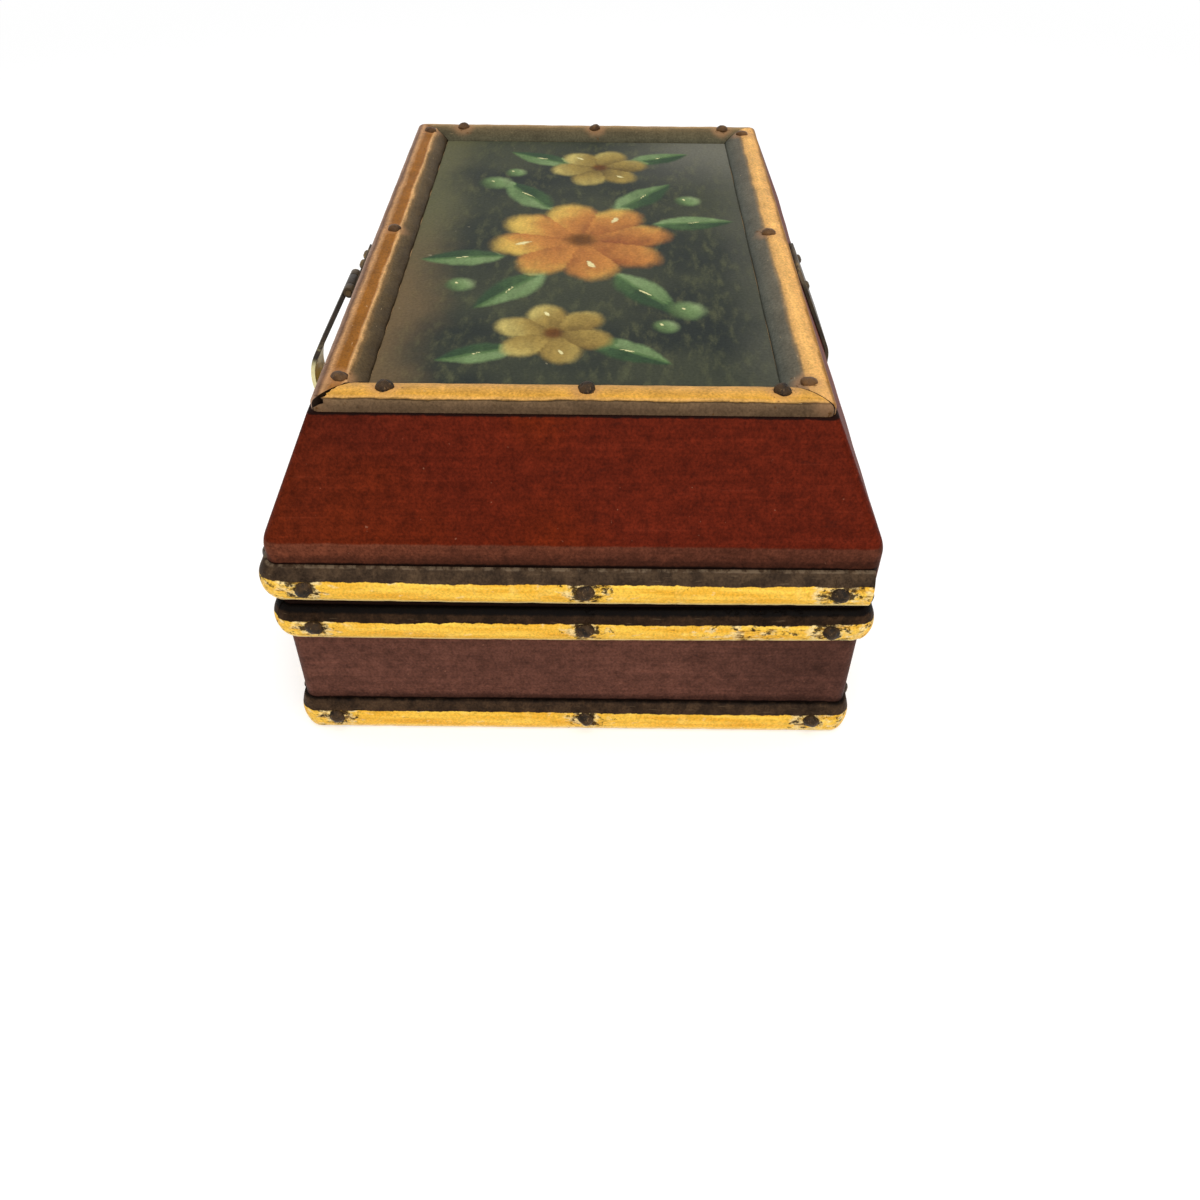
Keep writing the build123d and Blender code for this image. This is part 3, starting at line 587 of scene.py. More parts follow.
def heads(seats, sizes, seed):
    """Points of several hammered domes, each on its own seat, scaled by a (width, height) row.

    height = dome x (1 - share^2)^0.6, radius = share x radius, both shaken by slow sines of
    the angle, with one flat dent in each head.
    """
    draw = np.random.default_rng(seed)
    radius, dome, sink = TACK_RADIUS * MM, TACK_DOME * MM, TACK_SINK * MM
    angle = np.linspace(0, 2 * math.pi, TACK_SECTORS, endpoint=False)
    share = np.sin(np.linspace(0, math.pi / 2, TACK_RINGS + 1))[1:, None]
    first, second, third = draw.uniform(0, 2 * math.pi, (len(seats), 3, 1, 1)).swapaxes(0, 1)
    wobble = 1 + 0.09 * np.sin(2 * angle + first) + 0.06 * np.sin(5 * angle + second)
    reach = share * radius * (np.minimum(wobble, 1.05) - 0.05)
    rise = dome * np.maximum(1 - share**2, 0) ** 0.6
    dent = 0.24 * dome * np.cos(angle + third) * share * (1 - share**3)
    dent = dent + 0.1 * dome * np.cos(3 * angle + first) * share**2 * (1 - share**3)
    height = np.minimum(rise + dent, dome)
    rings = stacked(reach * np.cos(angle), reach * np.sin(angle), height)
    skirt = rings[:, -1:] * [1, 1, 0] - [0, 0, sink]
    top = np.zeros((len(seats), 1, 3)) + [0, 0, dome * 0.985]
    grid = np.concatenate([rings, skirt], axis=1).reshape(len(seats), -1, 3)
    local = np.concatenate([top, grid], axis=1) * sizes[:, None, [0, 0, 1]]
    seat = np.array(seats)
    return np.einsum("nij,npj->npi", seat[:, :3, :3], local) + seat[:, None, :3, 3]


def head_faces(count):
    """Faces of the domes: a fan at the top, rings of quads, and one face below."""
    index = 1 + np.arange((TACK_RINGS + 1) * TACK_SECTORS).reshape(TACK_RINGS + 1, -1)
    fan = stacked(0, index[0], np.roll(index[0], -1))
    one = fan.tolist() + quads_over(index, ring=True) + [index[-1, ::-1].tolist()]
    total = 1 + index.size
    return [[vertex + head * total for vertex in face] for head in range(count) for face in one]


def seat_on(side, along, outward, height, tilt):
    """A head's seat on a side, as a matrix; its Z looks up at tilt 0 and outward at 90."""
    turn = Matrix.Rotation(math.radians(QUARTER_TURNS[side]), 4, "Z")
    lean = Matrix.Rotation(math.radians(tilt), 4, "X")
    return turn @ Matrix.Translation((along, -outward, height)) @ lean


def blackened(name, dark, brown, shine):
    """Old iron under dark paint: cloudy brown, pits, and rubbed bright spots on top."""
    iron = Finish(name, Specular_IOR_Level=0.12)
    cloud = iron.noise(420.0)
    pits = iron.noise(1500.0, 4.0, 0.7)
    skin = iron.mix(iron.grade(cloud, 0.35, 0.65), dark, brown)
    skin = iron.stained(skin, (pits, 0.56, 0.70, 0.7, *shine))
    tan = iron.mix(cloud, (62, 42, 24), (150, 106, 62))
    skin = iron.mix(iron.field("tint"), skin, tan)
    return iron.wear(iron.plus(cloud, pits, 0.5), 0.0003, skin, iron.scaled(pits, 0.25, 0.6))


tack_finish = blackened("tack", dark=(26, 19, 12), brown=(68, 49, 29), shine=(132, 104, 70))


def nail_heads(name, seats, looks, body, seed, node):
    """One piece that holds every head of a set; looks are rows of (width, height, how brown)."""
    looks = np.array(looks)
    points = heads(seats, looks[:, :2], seed)
    brown = np.repeat(looks[:, 2], points.shape[1])
    mesh = outward_mesh(name, points, head_faces(len(seats)), tint=brown)
    piece(mesh, body, tack_finish, "tack", node)


for number, (level, (half, low, crown, body, _)) in enumerate(LEVELS.items()):
    seats = []
    for side in QUARTER_TURNS:
        places = tack_places(side, lid_half, *EDGE_TACKS)
        if (level, side) == ("rim", "back"):
            places[1:2] = [-TACK_BY_HINGE * MM, TACK_BY_HINGE * MM]
        if (level, side) == ("lid", "back"):
            continue
        out = along_and_out(side, half)[1] + crown * MM
        middle = low + STRIP_WIDTH / 2 * MM
        seats += [seat_on(side, place, out, middle, tilt=90) for place in places]
    looks = [EDGE_TACK_LOOK] * len(seats)
    nail_heads(f"{level}_tack_heads", seats, looks, body, 61 + number, f"{level}_strip_tacks")


# Lid boards.
# On each side an upright band runs over a soft shoulder into a leaning board. The band is
# maroon like the base, and the slope is a redder paint, rubbed pale at the hips and the top;
# along the top the pale is partly a painted sheen.
SHOULDER_RADIUS = 9.0
ARRIS_RADIUS = 1.0
HIP_RADIUS = 1.6
LID_RIM_BARE = 3.2
lid_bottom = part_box("lid_front_rail")[0].z / MM
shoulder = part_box("lid_front_rail")[1].z / MM
lid_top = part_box("lid_top_board")[1].z / MM
slope_run = (lid_half[0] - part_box("frame_strip_right")[1].x) / MM - 0.6
slope_lean = math.atan2(slope_run, lid_top - shoulder)


def lid_profile():
    """Closed section of one side of the lid: band, shoulder arc, slope, arris arc, inside.

    On an arc of radius r, inset = centre - r cos(a) and height = centre + r sin(a).
    """
    tangent = SHOULDER_RADIUS * math.tan(slope_lean / 2)
    band_top = shoulder - tangent
    rows = [(BOARD_EDGE, lid_bottom, CORNER_RADIUS), (0.0, lid_bottom + BOARD_EDGE, CORNER_RADIUS)]
    rows += [(0.0, z, CORNER_RADIUS) for z in np.linspace(lid_bottom + 3, band_top, 5)]
    angle = np.linspace(0, slope_lean, 7)[1:]
    inset = SHOULDER_RADIUS * (1 - np.cos(angle))
    rows += list(zip(inset, band_top + SHOULDER_RADIUS * np.sin(angle), [CORNER_RADIUS] * 6))
    centre = slope_run + ARRIS_RADIUS * math.tan((math.pi / 2 - slope_lean) / 2)
    angle = np.linspace(slope_lean, math.pi / 2, 6)
    arris = list(zip(centre - ARRIS_RADIUS * np.cos(angle),
                     lid_top - ARRIS_RADIUS * (1 - np.sin(angle)), [HIP_RADIUS] * 6))
    rows += list(np.linspace(rows[-1], arris[0], 12)[1:-1]) + arris
    inner = BOARD_THICKNESS
    painted = [(*row, 1) for row in rows]
    bare = [(slope_run + inner, lid_top), (inner, shoulder), (inner, lid_bottom + BOARD_EDGE),
            (inner - BOARD_EDGE, lid_bottom), (LID_RIM_BARE, lid_bottom)]
    return painted + [(*row, INNER_CORNER_RADIUS, 0) for row in bare]


def hip_wear_and_arris_sheen(corner, height):
    """Worn along the hips above the shoulder, and pale along the top arris, partly as a painted
    sheen.
    """
    on_slope = np.clip((height / MM - shoulder) / 6, 0, 1)
    top = np.clip(1 - (lid_top - height / MM) / 2.2, 0, 1)
    return np.maximum(0.05 + corner * (0.3 + 0.32 * on_slope), 0.35 * top)


# Lid lines: the boards' top is painted black as shade seen in gaps under the top strips; the lid's
# bottom is painted as shade in the gap above the rim strip; above the lid strip a thin dark line,
# partly dark paint and partly painted shade, under a soft painted shadow. On the back only the top
# line and a thin dark line along the bottom edge.
top_line = (lid_top * MM, 0.0006, CRISP)
strip_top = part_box("lid_strip_front")[1].z
strip_lines = [top_line, (lid_bottom * MM, 0.0045, CRISP), (strip_top, 0.0009, CRISP),
               (strip_top, 0.0042, SOFT_SHADE)]
back_lines = [top_line, (lid_bottom * MM, 0.0012, CRISP)]
glow = (shoulder * MM, (90, 28, 13), (101, 33, 7))
lid_paint, lid_back_paint = (
    brushed_paint(name, dull=(88, 47, 33), warm=(106, 56, 38), lines=lines, glow=glow)
    for name, lines in (("lid_paint", strip_lines), ("lid_back_paint", back_lines)))
for number, side in enumerate(QUARTER_TURNS):
    mesh = board(f"lid_{side}_board", side, lid_half, lid_profile(), 71 + number, hip_wear_and_arris_sheen)
    paint = lid_back_paint if side == "back" else lid_paint
    piece(mesh, "lid", paint, "lid_paint", f"lid_{side}_rail", f"lid_{side}_slope")


# Picture panel.
# A thin panel let in between the top strips, painted in oils on a green-grey ground that turns
# brown in front and grey in one corner. A plain garland of three round blossoms stands here.
PANEL_STEP = 0.7
PANEL_EDGE = 0.3
PANEL_SINK = 0.22
PETAL_THICKNESS = 0.08
DAB_THICKNESS = 0.14
BLOSSOMS = (
    (-58.0, 5.0, 16.5, 6, 40, 0.15),
    (57.0, -6.0, 16.0, 6, 12, 0.2),
    (0.0, 0.0, 27.0, 8, 10, 1.0),
)
LEAVES = (
    (-33, 19, 15, 6.0, 140), (33, -19, 15, 6.0, -40), (-34, -18, 15, 6.0, 214),
    (34, 18, 15, 6.0, 34), (-67, 25, 12, 5.2, 112), (68, -25, 11, 5.0, -72),
    (-66, -15, 13, 5.2, 240), (66, 13, 13, 5.2, 60), (-13, 34, 13, 5.4, 96),
    (13, -34, 13, 5.4, -84),
)
BUDS = ((-44, -29, 5.6), (44, 29, 5.6), (-30, 33, 4.4), (30, -33, 4.4), (-53, -23, 3.8),
        (53, 23, 3.8))
panel_low, panel_high = (np.array(corner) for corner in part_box("picture_panel"))


def oval(x, y, centre, half_length, half_width, turn):
    """1 at an oval's centre, 0 on its edge: 1 - sqrt((u/a)^2 + (v/b)^2), with u along it."""
    angle = math.radians(turn)
    u = (x - centre[0]) * math.cos(angle) + (y - centre[1]) * math.sin(angle)
    v = (y - centre[1]) * math.cos(angle) - (x - centre[0]) * math.sin(angle)
    return 1 - np.hypot(u / half_length, v / half_width), u / half_length, v / half_width


def garland(x, y):
    """Fields of the painted design at each point of the panel, x and y in millimetres.

    petal, heart, leaf, bud and dab are 0 on a motif's edge and positive inside it. tone goes
    from 0 in shade to 1 in light, and warmth from 0 on olive petals to 1 on orange ones.
    Blossoms are (x, y, size, petals, first turn, warmth), leaves (x, y, length, width, turn)
    and buds (x, y, size).
    """
    petal = heart = leaf = bud = dab = np.full(x.shape, -3.0)
    tone = np.full(x.shape, 0.5)
    warmth = np.zeros(x.shape)
    for middle_x, middle_y, size, count, first, warm in BLOSSOMS:
        for number in range(count):
            turn = first + 360 / count * number
            reach = math.radians(turn)
            centre, mark = [(middle_x + part * size * math.cos(reach),
                             middle_y + part * size * math.sin(reach)) for part in (0.52, 0.64)]
            inside, u, v = oval(x, y, centre, 0.5 * size, (0.46 - 0.014 * count) * size, turn)
            over = (inside > petal) & (inside > -0.3)
            facing = 0.22 * (middle_y - y) / size + 0.12 * (middle_x - x) / size
            light = 0.52 + 0.26 * u + 0.2 * v + facing
            tone = np.where(over, light, tone)
            warmth = np.where(over, warm, warmth)
            petal = np.maximum(petal, inside)
            if number % 3 == 0:
                dab = np.maximum(dab, oval(x, y, mark, 0.13 * size, 0.045 * size, turn + 14)[0])
        heart = np.maximum(heart, oval(x, y, (middle_x, middle_y), 0.2 * size, 0.2 * size, 0)[0])
    for *middle, length, width, turn in LEAVES:
        _, u, v = oval(x, y, middle, length, width, turn)
        inside = 1 - u**2 - np.abs(v) * (1 + 0.25 * u)
        over = (inside > leaf) & (inside > -0.2) & (petal < -0.05)
        light = 0.5 + 0.3 * np.sign(v) * np.clip(np.abs(v) * 6, 0, 1) - 0.15 * u
        tone = np.where(over, light, tone)
        leaf = np.maximum(leaf, inside)
        dab = np.maximum(dab, oval(x, y, middle, 0.26 * length, 0.5, turn + 12)[0])
    for *middle, size in BUDS:
        inside, _, v = oval(x, y, middle, size, size, 35)
        tone = np.where(inside > -0.2, 0.5 + 0.4 * v, tone)
        bud = np.maximum(bud, inside)
        dab = np.maximum(dab, oval(x, y, np.array(middle) - 1, 1.1, 0.6, 30)[0])
    return dict(petal=petal, heart=heart, leaf=leaf, bud=bud, dab=dab, tone=tone, warmth=warmth)


def panel_mesh():
    """The panel's face as a height field with raised paint, over a plain back."""
    reach = panel_high[:2] - PANEL_EDGE * MM
    across = [np.linspace(-half, half, int(2 * half / (PANEL_STEP * MM))) for half in reach]
    x, y = np.meshgrid(*across, indexing="ij")
    fields = garland(x / MM, y / MM)
    thick = np.clip(np.maximum(fields["petal"], fields["leaf"]) * 3, 0, 1) * PETAL_THICKNESS
    thick = thick + np.clip(fields["dab"] * 2, 0, 1) * DAB_THICKNESS
    relief = (thick - PANEL_SINK) * MM
    top = stacked(x, y, panel_high[2] + relief)
    rim = stacked(x, y, panel_high[2] - PANEL_EDGE * MM)
    index = np.arange(x.size).reshape(x.shape)
    loop = np.concatenate([index[:-1, 0], index[-1, :-1], index[:0:-1, -1], index[0, :0:-1]])
    edge = rim.reshape(-1, 3)[loop]
    grown = edge * [panel_high[0] / reach[0], panel_high[1] / reach[1], 1]
    foot = grown * [1, 1, 0] + [0, 0, panel_low[2]]
    points = np.concatenate([top.reshape(-1, 3), grown, foot])
    upper = np.arange(len(loop)) + x.size
    lower = upper + len(loop)
    faces = quads_over(index) + quads_over(np.stack([loop, upper, lower]), ring=True)
    faces.append(lower[::-1].tolist())
    source = np.concatenate([index.ravel(), loop, loop])
    padded = {name: values.ravel()[source] for name, values in fields.items()}
    return outward_mesh("painted_panel", points, faces, **padded)


def oil_painting(name):
    """Soft oil paint: ground, then leaves, buds, petals, hearts and cream dabs laid over it."""
    oil = Finish(name, Specular_IOR_Level=0.05)
    weave = oil.noise(1200.0, 3.0)
    brush = oil.noise(150.0, place=oil.where(stretch=(1, 2.6, 1), turn=35))
    along = oil.axis("X")
    side = oil.ragged(oil.axis("Y"), 30.0, 0.02)
    ground = oil.mix(oil.grade(oil.noise(24.0, 3.0, 0.5), 0.35, 0.68), (38, 43, 40), (62, 65, 51))
    ground = oil.mix(oil.grade(brush, 0.45, 0.80), ground, (80, 82, 60))
    ends = oil.mix(oil.grade(along, -0.03, 0.04), (96, 94, 66), (112, 92, 64))
    ground = oil.mix(oil.calc("MULTIPLY", oil.grade(side, -0.032, -0.050), 0.85), ground, ends)
    ground = oil.stained(ground, (side, 0.036, 0.052, 0.7, 84, 84, 72))
    bloom = oil.calc("MULTIPLY", oil.grade(along, -0.030, -0.085), oil.grade(side, 0.0, 0.04))
    ground = oil.over(ground, bloom, 0.7, 124, 122, 108)
    ground = oil.stained(ground, (oil.noise(330.0, 2.0, 0.5), 0.76, 0.80, 0.6, 150, 140, 112))
    tone = oil.ragged(oil.field("tone"), 90.0, 0.6)
    hand = oil.where(stretch=(1, 2, 1), turn=20)

    def strokes(dark, middle, light):
        paint = oil.mix(oil.grade(tone, 0.15, 0.55), dark, middle)
        return oil.mix(oil.grade(tone, 0.5, 1.0), paint, light)

    def layer(under, paint, field, soft, amount):
        edge = oil.ragged(oil.field(field), 130.0, amount, place=hand)
        paint = oil.shaded(paint, (brush, 0.62, 1.38))
        return oil.mix(oil.grade(edge, -0.3 * soft, soft), under, paint)

    warm = strokes((138, 80, 46), (184, 122, 62), (214, 178, 88))
    olive = strokes((92, 82, 44), (142, 128, 68), (182, 168, 102))
    petals = oil.mix(oil.field("warmth"), olive, warm)
    skin = layer(ground, strokes((50, 70, 48), (82, 108, 66), (122, 144, 98)), "leaf", 0.3, 0.4)
    skin = layer(skin, strokes((70, 88, 56), (104, 128, 82), (146, 164, 116)), "bud", 0.5, 0.4)
    skin = layer(skin, petals, "petal", 0.34, 0.3)
    skin = layer(skin, strokes((84, 54, 28), (124, 78, 34), (160, 110, 48)), "heart", 0.7, 0.6)
    flick = oil.where(stretch=(2, 1, 1), turn=60)
    dab = oil.ragged(oil.field("dab"), 600.0, 1.4, place=flick)
    skin = oil.stained(skin, (dab, 0.15, 0.5, 0.85, 232, 222, 164))
    skin = oil.shaded(skin, (weave, 0.6, 1.4))
    return oil.wear(oil.plus(brush, weave, 0.5), 0.00012, skin, oil.scaled(brush, 0.42, 0.62))


piece(panel_mesh(), "lid", oil_painting("picture"), "picture", "picture_panel")


# Top strips round the picture.
# Mitred mouldings with a steep outer edge and a long inner flank, gilded on top and painted
# dark beside it, with a lumpy seam against the picture. The near left mitre has sprung open.
# Their colours also hold painted light: glare, a highlight and shaded flanks, and black ends as
# shade.
FRAME_WIDTH = 11.5
FRAME_OUTER_EDGE = 2.4
FRAME_INNER_EDGE = 0.8
FRAME_CROWN = 3.5
FRAME_CROWN_PLACE = 4.4
FRAME_OUTER_ROUND = 0.7
FRAME_CORNER = 2.3
HAIRLINE = 0.06
SPRUNG_GAP = 2.0
SPRUNG_DEPTH = 5.5
SPRUNG_FROM = 0.93
RIB_PLACE = 7.3
RIB_REACH = 0.55
RIB_HEIGHT = 0.38
SEAM_SWAY = 0.5
FLANK_SWELL = 0.45
FRAME_ROUGHNESS = 0.09
FRAME_STEP = 1.3
FRAME_FLAKE_REACH = 4.5
FRAME_WEAR_REACH = 10.0
LUMPS = {"front": 0.8, "right": 0.25, "back": 0.4, "left": 0.5}
FRAME_TACK_PLACE = 5.6
TOP_TACKS = (9.9, 16.9, 12.4)
frame_half = (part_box("frame_strip_right")[1].x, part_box("frame_strip_back")[1].y)


def frame_section():
    """Closed section as (inset, height): outer edge, arc over the crown, inner edge, flat back.

    The arc is the circle through the outer edge's top, the crown and the inner edge's top.
    """
    spots = np.array([(0.0, FRAME_OUTER_EDGE), (FRAME_CROWN_PLACE, FRAME_CROWN),
                      (FRAME_WIDTH, FRAME_INNER_EDGE)])
    sides = 2 * (spots[1:] - spots[:-1])
    centre = np.linalg.solve(sides, (spots[1:] ** 2 - spots[:-1] ** 2).sum(axis=1))
    radius = np.hypot(*(spots[0] - centre))
    inset = np.concatenate([[0.12, 0.4], np.linspace(FRAME_OUTER_ROUND, FRAME_WIDTH - 0.2, 22)])
    height = centre[1] + np.sqrt(radius**2 - (inset - centre[0]) ** 2)
    height[:2] -= [0.42, 0.1]
    rows = [(0.0, 0.0), (0.0, 0.9), (0.0, FRAME_OUTER_EDGE - 0.7)]
    rows += list(zip(inset, height))
    rows += [(FRAME_WIDTH, FRAME_INNER_EDGE - 0.25), (FRAME_WIDTH, 0.0)]
    return np.array(rows)


def top_strip(name, side, seed):
    """One moulding of the top frame, with a lumpy inner seam and worn mitres.

    Each section row is shaken by uneven(): the seam sideways, the flank and crown in height.
    A rib stands along the front strip, and the right strip's first end is sprung back.
    """
    run, out = along_and_out(side, frame_half)
    section = frame_section() * MM
    inset, height = section[:, :1], section[:, 1:]
    share, bend = columns_between(int(2 * run / (FRAME_STEP * MM)), 6)
    radius = np.maximum(FRAME_CORNER * MM - 0.8 * inset, 0.25 * MM)
    inner = np.clip(inset / MM - FRAME_WIDTH + 3, 0, 3) / 3
    lumps = uneven(share * run, 0 * height, seed, (43.0, 24.0, 13.0)) * LUMPS[side]
    seam = inner**2 * SEAM_SWAY * MM * lumps
    swell = inner * (1 - inner**4) * FLANK_SWELL * MM * lumps
    rough = FRAME_ROUGHNESS * MM * uneven(share * run, inset, seed + 1, (37.0, 17.0, 7.0))
    rib = RIB_HEIGHT * MM * np.exp(-(((inset / MM - RIB_PLACE) / RIB_REACH) ** 2))
    rib = rib * (side == "front")
    proud = np.clip(height / (0.5 * MM), 0, 1)
    along, outward = seen_from_above(run, out, inset + seam, radius, share, bend)
    height_now = height + (np.minimum(swell + rough, 0.3 * MM) - 0.1 * MM + rib) * proud
    height_now = np.minimum(height_now, FRAME_CROWN * MM)
    end = np.clip((np.abs(share) - 0.9) * 10, 0, 1)
    along = along - np.sign(share) * end * HAIRLINE * MM
    if side == "right":
        depth = np.clip(1 - inset / (SPRUNG_DEPTH * MM), 0, 1) ** 0.8
        tooth = 1 + 0.3 * np.sin(inset / MM * 4.1) + 0.15 * np.sin(inset / MM * 9.7)
        sprung = np.clip((-share - SPRUNG_FROM) * 14, 0, 1) * np.clip(height / MM - 1, 0, 1)
        along = along + sprung * SPRUNG_GAP * MM * depth * tooth
    points = turned(side, along, outward, lid_top * MM + height_now)
    place = stacked(along, inset)
    spots = np.array(tack_places(side, frame_half, *TOP_TACKS))[:, None, None]
    reach = np.hypot(along - spots, inset - FRAME_TACK_PLACE * MM) / (FRAME_FLAKE_REACH * MM)
    corner = np.exp(-((run - np.abs(along)) / (FRAME_WEAR_REACH * MM)) ** 2) * 0.5
    flaked = np.maximum(np.exp(-(reach**2)).max(axis=0), corner)
    # The end columns are marked so that their faces are painted black, as shade in the mitre gaps.
    cut = np.zeros(along.shape)
    cut[:, [0, -1]] = 1
    return outward_mesh(name, points, carried(points), place, flaked=flaked, cut=cut)


def frame_gilding(name, gold_and_light):
    """Orange gold over the crown, dark paint on the outer edge and down the inner flank.

    The stops hold (inset in millimetres, red, green, blue) across the strip. Besides paint they
    hold painted light: pale glare on outer edges, a painted highlight on the front strip's rib,
    and brown, shaded outer flanks against brighter inner ones.
    """
    gild = Finish(name, Specular_IOR_Level=0.04)
    streak = gild.flow(45, 380)
    mottle = gild.noise(190.0)
    fine = gild.noise(1500.0, 3.0)
    flaked = gild.field("flaked")
    swept = gild.ragged(gild.axis("Y", "UV"), 1.0, 0.0022, 5.0, gild.where("UV", (70, 260, 1)))
    swept = gild.calc("MULTIPLY", swept, 1000 / FRAME_WIDTH)
    leaf = gild.ramp(swept, [(place / FRAME_WIDTH, *paint) for place, *paint in gold_and_light])
    leaf = gild.shaded(leaf, (streak, 0.6, 1.4), (mottle, 0.6, 1.4), (fine, 0.35, 1.65))
    fleck_at = gild.plus(gild.noise(520.0, 4.0, 0.7), flaked, 0.12)
    # The last stain paints the mitre ends black, as painted shade in the gaps.
    skin = gild.stained(leaf, (gild.ragged(flaked, 150.0, 0.6), 0.25, 0.8, 0.42, 190, 140, 98),
                        (fleck_at, 0.66, 0.74, 0.8, 84, 54, 24),
                        (gild.flow(240, 1100, 3.0), 0.68, 0.76, 0.45, 226, 194, 146),
                        (gild.field("cut"), 0.15, 0.6, 0.95, 18, 12, 9))
    relief = gild.plus(gild.plus(streak, fine, 0.5), mottle)
    return gild.wear(relief, 0.00016, skin, gild.scaled(streak, 0.32, 0.55))


# Colour stops across each top strip: paint and painted light together, with pale glare at outer
# edges, a painted highlight on the front rib, and shaded outer flanks.
TOP_STRIP_PAINTS_AND_LIGHT = {
    "front": ((0.0, 176, 144, 122), (1.6, 106, 74, 54), (2.8, 192, 144, 96), (4.2, 140, 88, 28),
              (6.5, 148, 94, 34), (7.2, 218, 168, 110), (7.9, 118, 92, 58), (8.7, 90, 74, 50),
              (11.4, 62, 50, 34)),
    "right": ((0.0, 92, 72, 52), (0.9, 104, 82, 58), (1.25, 58, 42, 22), (1.8, 212, 160, 86),
              (2.8, 212, 156, 62), (8.0, 212, 160, 90), (10.6, 198, 152, 98), (11.3, 72, 58, 42)),
    "back": ((0.0, 136, 92, 34), (0.8, 148, 102, 42), (1.6, 224, 168, 96), (3.8, 238, 182, 104),
             (5.8, 212, 162, 96), (6.5, 136, 112, 80), (7.3, 100, 93, 78), (11.2, 80, 82, 73)),
    "left": ((0.0, 140, 112, 70), (1.0, 188, 152, 100), (3.0, 178, 142, 92), (4.4, 146, 118, 76),
             (6.0, 110, 92, 62), (8.0, 90, 80, 58), (11.2, 78, 74, 56)),
}


for number, side in enumerate(QUARTER_TURNS):
    gilding = frame_gilding(f"frame_strip_{side}_gilding", TOP_STRIP_PAINTS_AND_LIGHT[side])
    mesh = top_strip(f"top_{side}_strip", side, 81 + number)
    piece(mesh, "lid", gilding, "frame_strip", f"frame_strip_{side}")


# Tacks of the top strips.
# The same hammered tacks, driven down through the strips into the lid boards.
TOP_TACK_LOOKS = {"front": (0.86, 0.75, 0.35), "right": (0.92, 1.0, 0.0),
                  "back": (0.84, 0.6, 0.6), "left": (0.84, 0.75, 0.4)}
seats = []
looks = []
for side, look in TOP_TACK_LOOKS.items():
    out = along_and_out(side, frame_half)[1] - FRAME_TACK_PLACE * MM
    for place in tack_places(side, frame_half, *TOP_TACKS):
        seats.append(seat_on(side, place, out, (lid_top + FRAME_CROWN) * MM, tilt=0))
        looks.append(look)
nail_heads("top_tack_heads", seats, looks, "lid", 64, "frame_tacks")


# Strap hinge.
# Two stamped brass leaves, one over the lid's back and one down the base, rolled round a
# drawn pin and gone brown with age. Their CAD solids take the finish.
LEAF_EASE = (0.2, 40)
PIN_EASE = (0.12, 30)


def metalwork(finish, ease, *nodes):
    """Gives CAD nodes a finish and eases their sharp edges; ease is (width, least angle)."""
    for node in nodes:
        refinish(node, finish)
        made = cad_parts[node]
        weld = made.modifiers.new("weld", "WELD")
        weld.merge_threshold = 0.000002
        bevel = made.modifiers.new("ease", "BEVEL")
        bevel.width = ease[0] * MM
        bevel.segments = 2
        bevel.limit_method = "ANGLE"
        bevel.angle_limit = math.radians(ease[1])


def old_brass(name, dark, brown, bright, reflection_height=None):
    """Tarnished sheet brass: brown bloom, darker pits, and bare metal where hands rub it.

    Where given, the last argument is a height below which the brass is painted bright, as a
    painted reflection.
    """
    brass = Finish(name, Specular_IOR_Level=0.4)
    bloom = brass.noise(130.0)
    pits = brass.noise(900.0, 4.0, 0.7)
    scratch = brass.noise(1.0, 3.0, place=brass.where(stretch=(300, 300, 3000)))
    skin = brass.mix(brass.grade(bloom, 0.35, 0.66), dark, brown)
    rub_and_sheen = brass.grade(brass.plus(bloom, scratch, 0.35), 0.80, 0.92)
    rub_and_sheen = brass.calc("MULTIPLY", rub_and_sheen, 0.35)
    # Painted reflection: below the given height the brass is painted bright.
    if reflection_height:
        height = brass.ragged(brass.axis("Z"), 220.0, 0.004)
        below = brass.grade(height, reflection_height + 0.002, reflection_height - 0.002)
        painted_reflection = brass.calc("MULTIPLY", below, brass.scaled(bloom, 0.55, 1.0))
        rub_and_sheen = brass.calc("MAXIMUM", rub_and_sheen, painted_reflection)
    skin = brass.mix(rub_and_sheen, skin, bright)
    skin = brass.stained(skin, (pits, 0.66, 0.76, 0.6, 30, 23, 16))
    brass.give(Metallic=brass.scaled(rub_and_sheen, 0.25, 0.9))
    relief = brass.calc("SUBTRACT", brass.calc("MULTIPLY", scratch, 0.3), pits)
    return brass.wear(relief, 0.0001, skin, brass.scaled(rub_and_sheen, 0.5, 0.28))


aged = old_brass("aged_brass", dark=(46, 37, 26), brown=(82, 64, 38), bright=(176, 146, 86))
pin_brass = old_brass("pin_brass", dark=(60, 48, 32), brown=(104, 82, 48), bright=(196, 166, 100))
metalwork(aged, LEAF_EASE, "hinge_lid_leaf", "hinge_base_leaf")
metalwork(pin_brass, PIN_EASE, "hinge_pin", "hinge_lid_pins", "hinge_base_pins")


# Hasp and staple.
# A brass strap bowed out from a small leaf on the front slope, with a slot that drops over a
# pierced lug. The strap is painted bright low down, as a painted reflection, and dark above.
HASP_REFLECTION_HEIGHT = 0.057
STRAP_EASE = (0.25, 40)
worn = old_brass("worn_brass", dark=(40, 32, 24), brown=(66, 53, 38), bright=(236, 226, 172),
                 reflection_height=HASP_REFLECTION_HEIGHT)
metalwork(worn, STRAP_EASE, "hasp_strap")
metalwork(aged, LEAF_EASE, "hasp_leaf", "staple")
metalwork(pin_brass, PIN_EASE, "hasp_pin", "hasp_leaf_pins", "staple_pins")


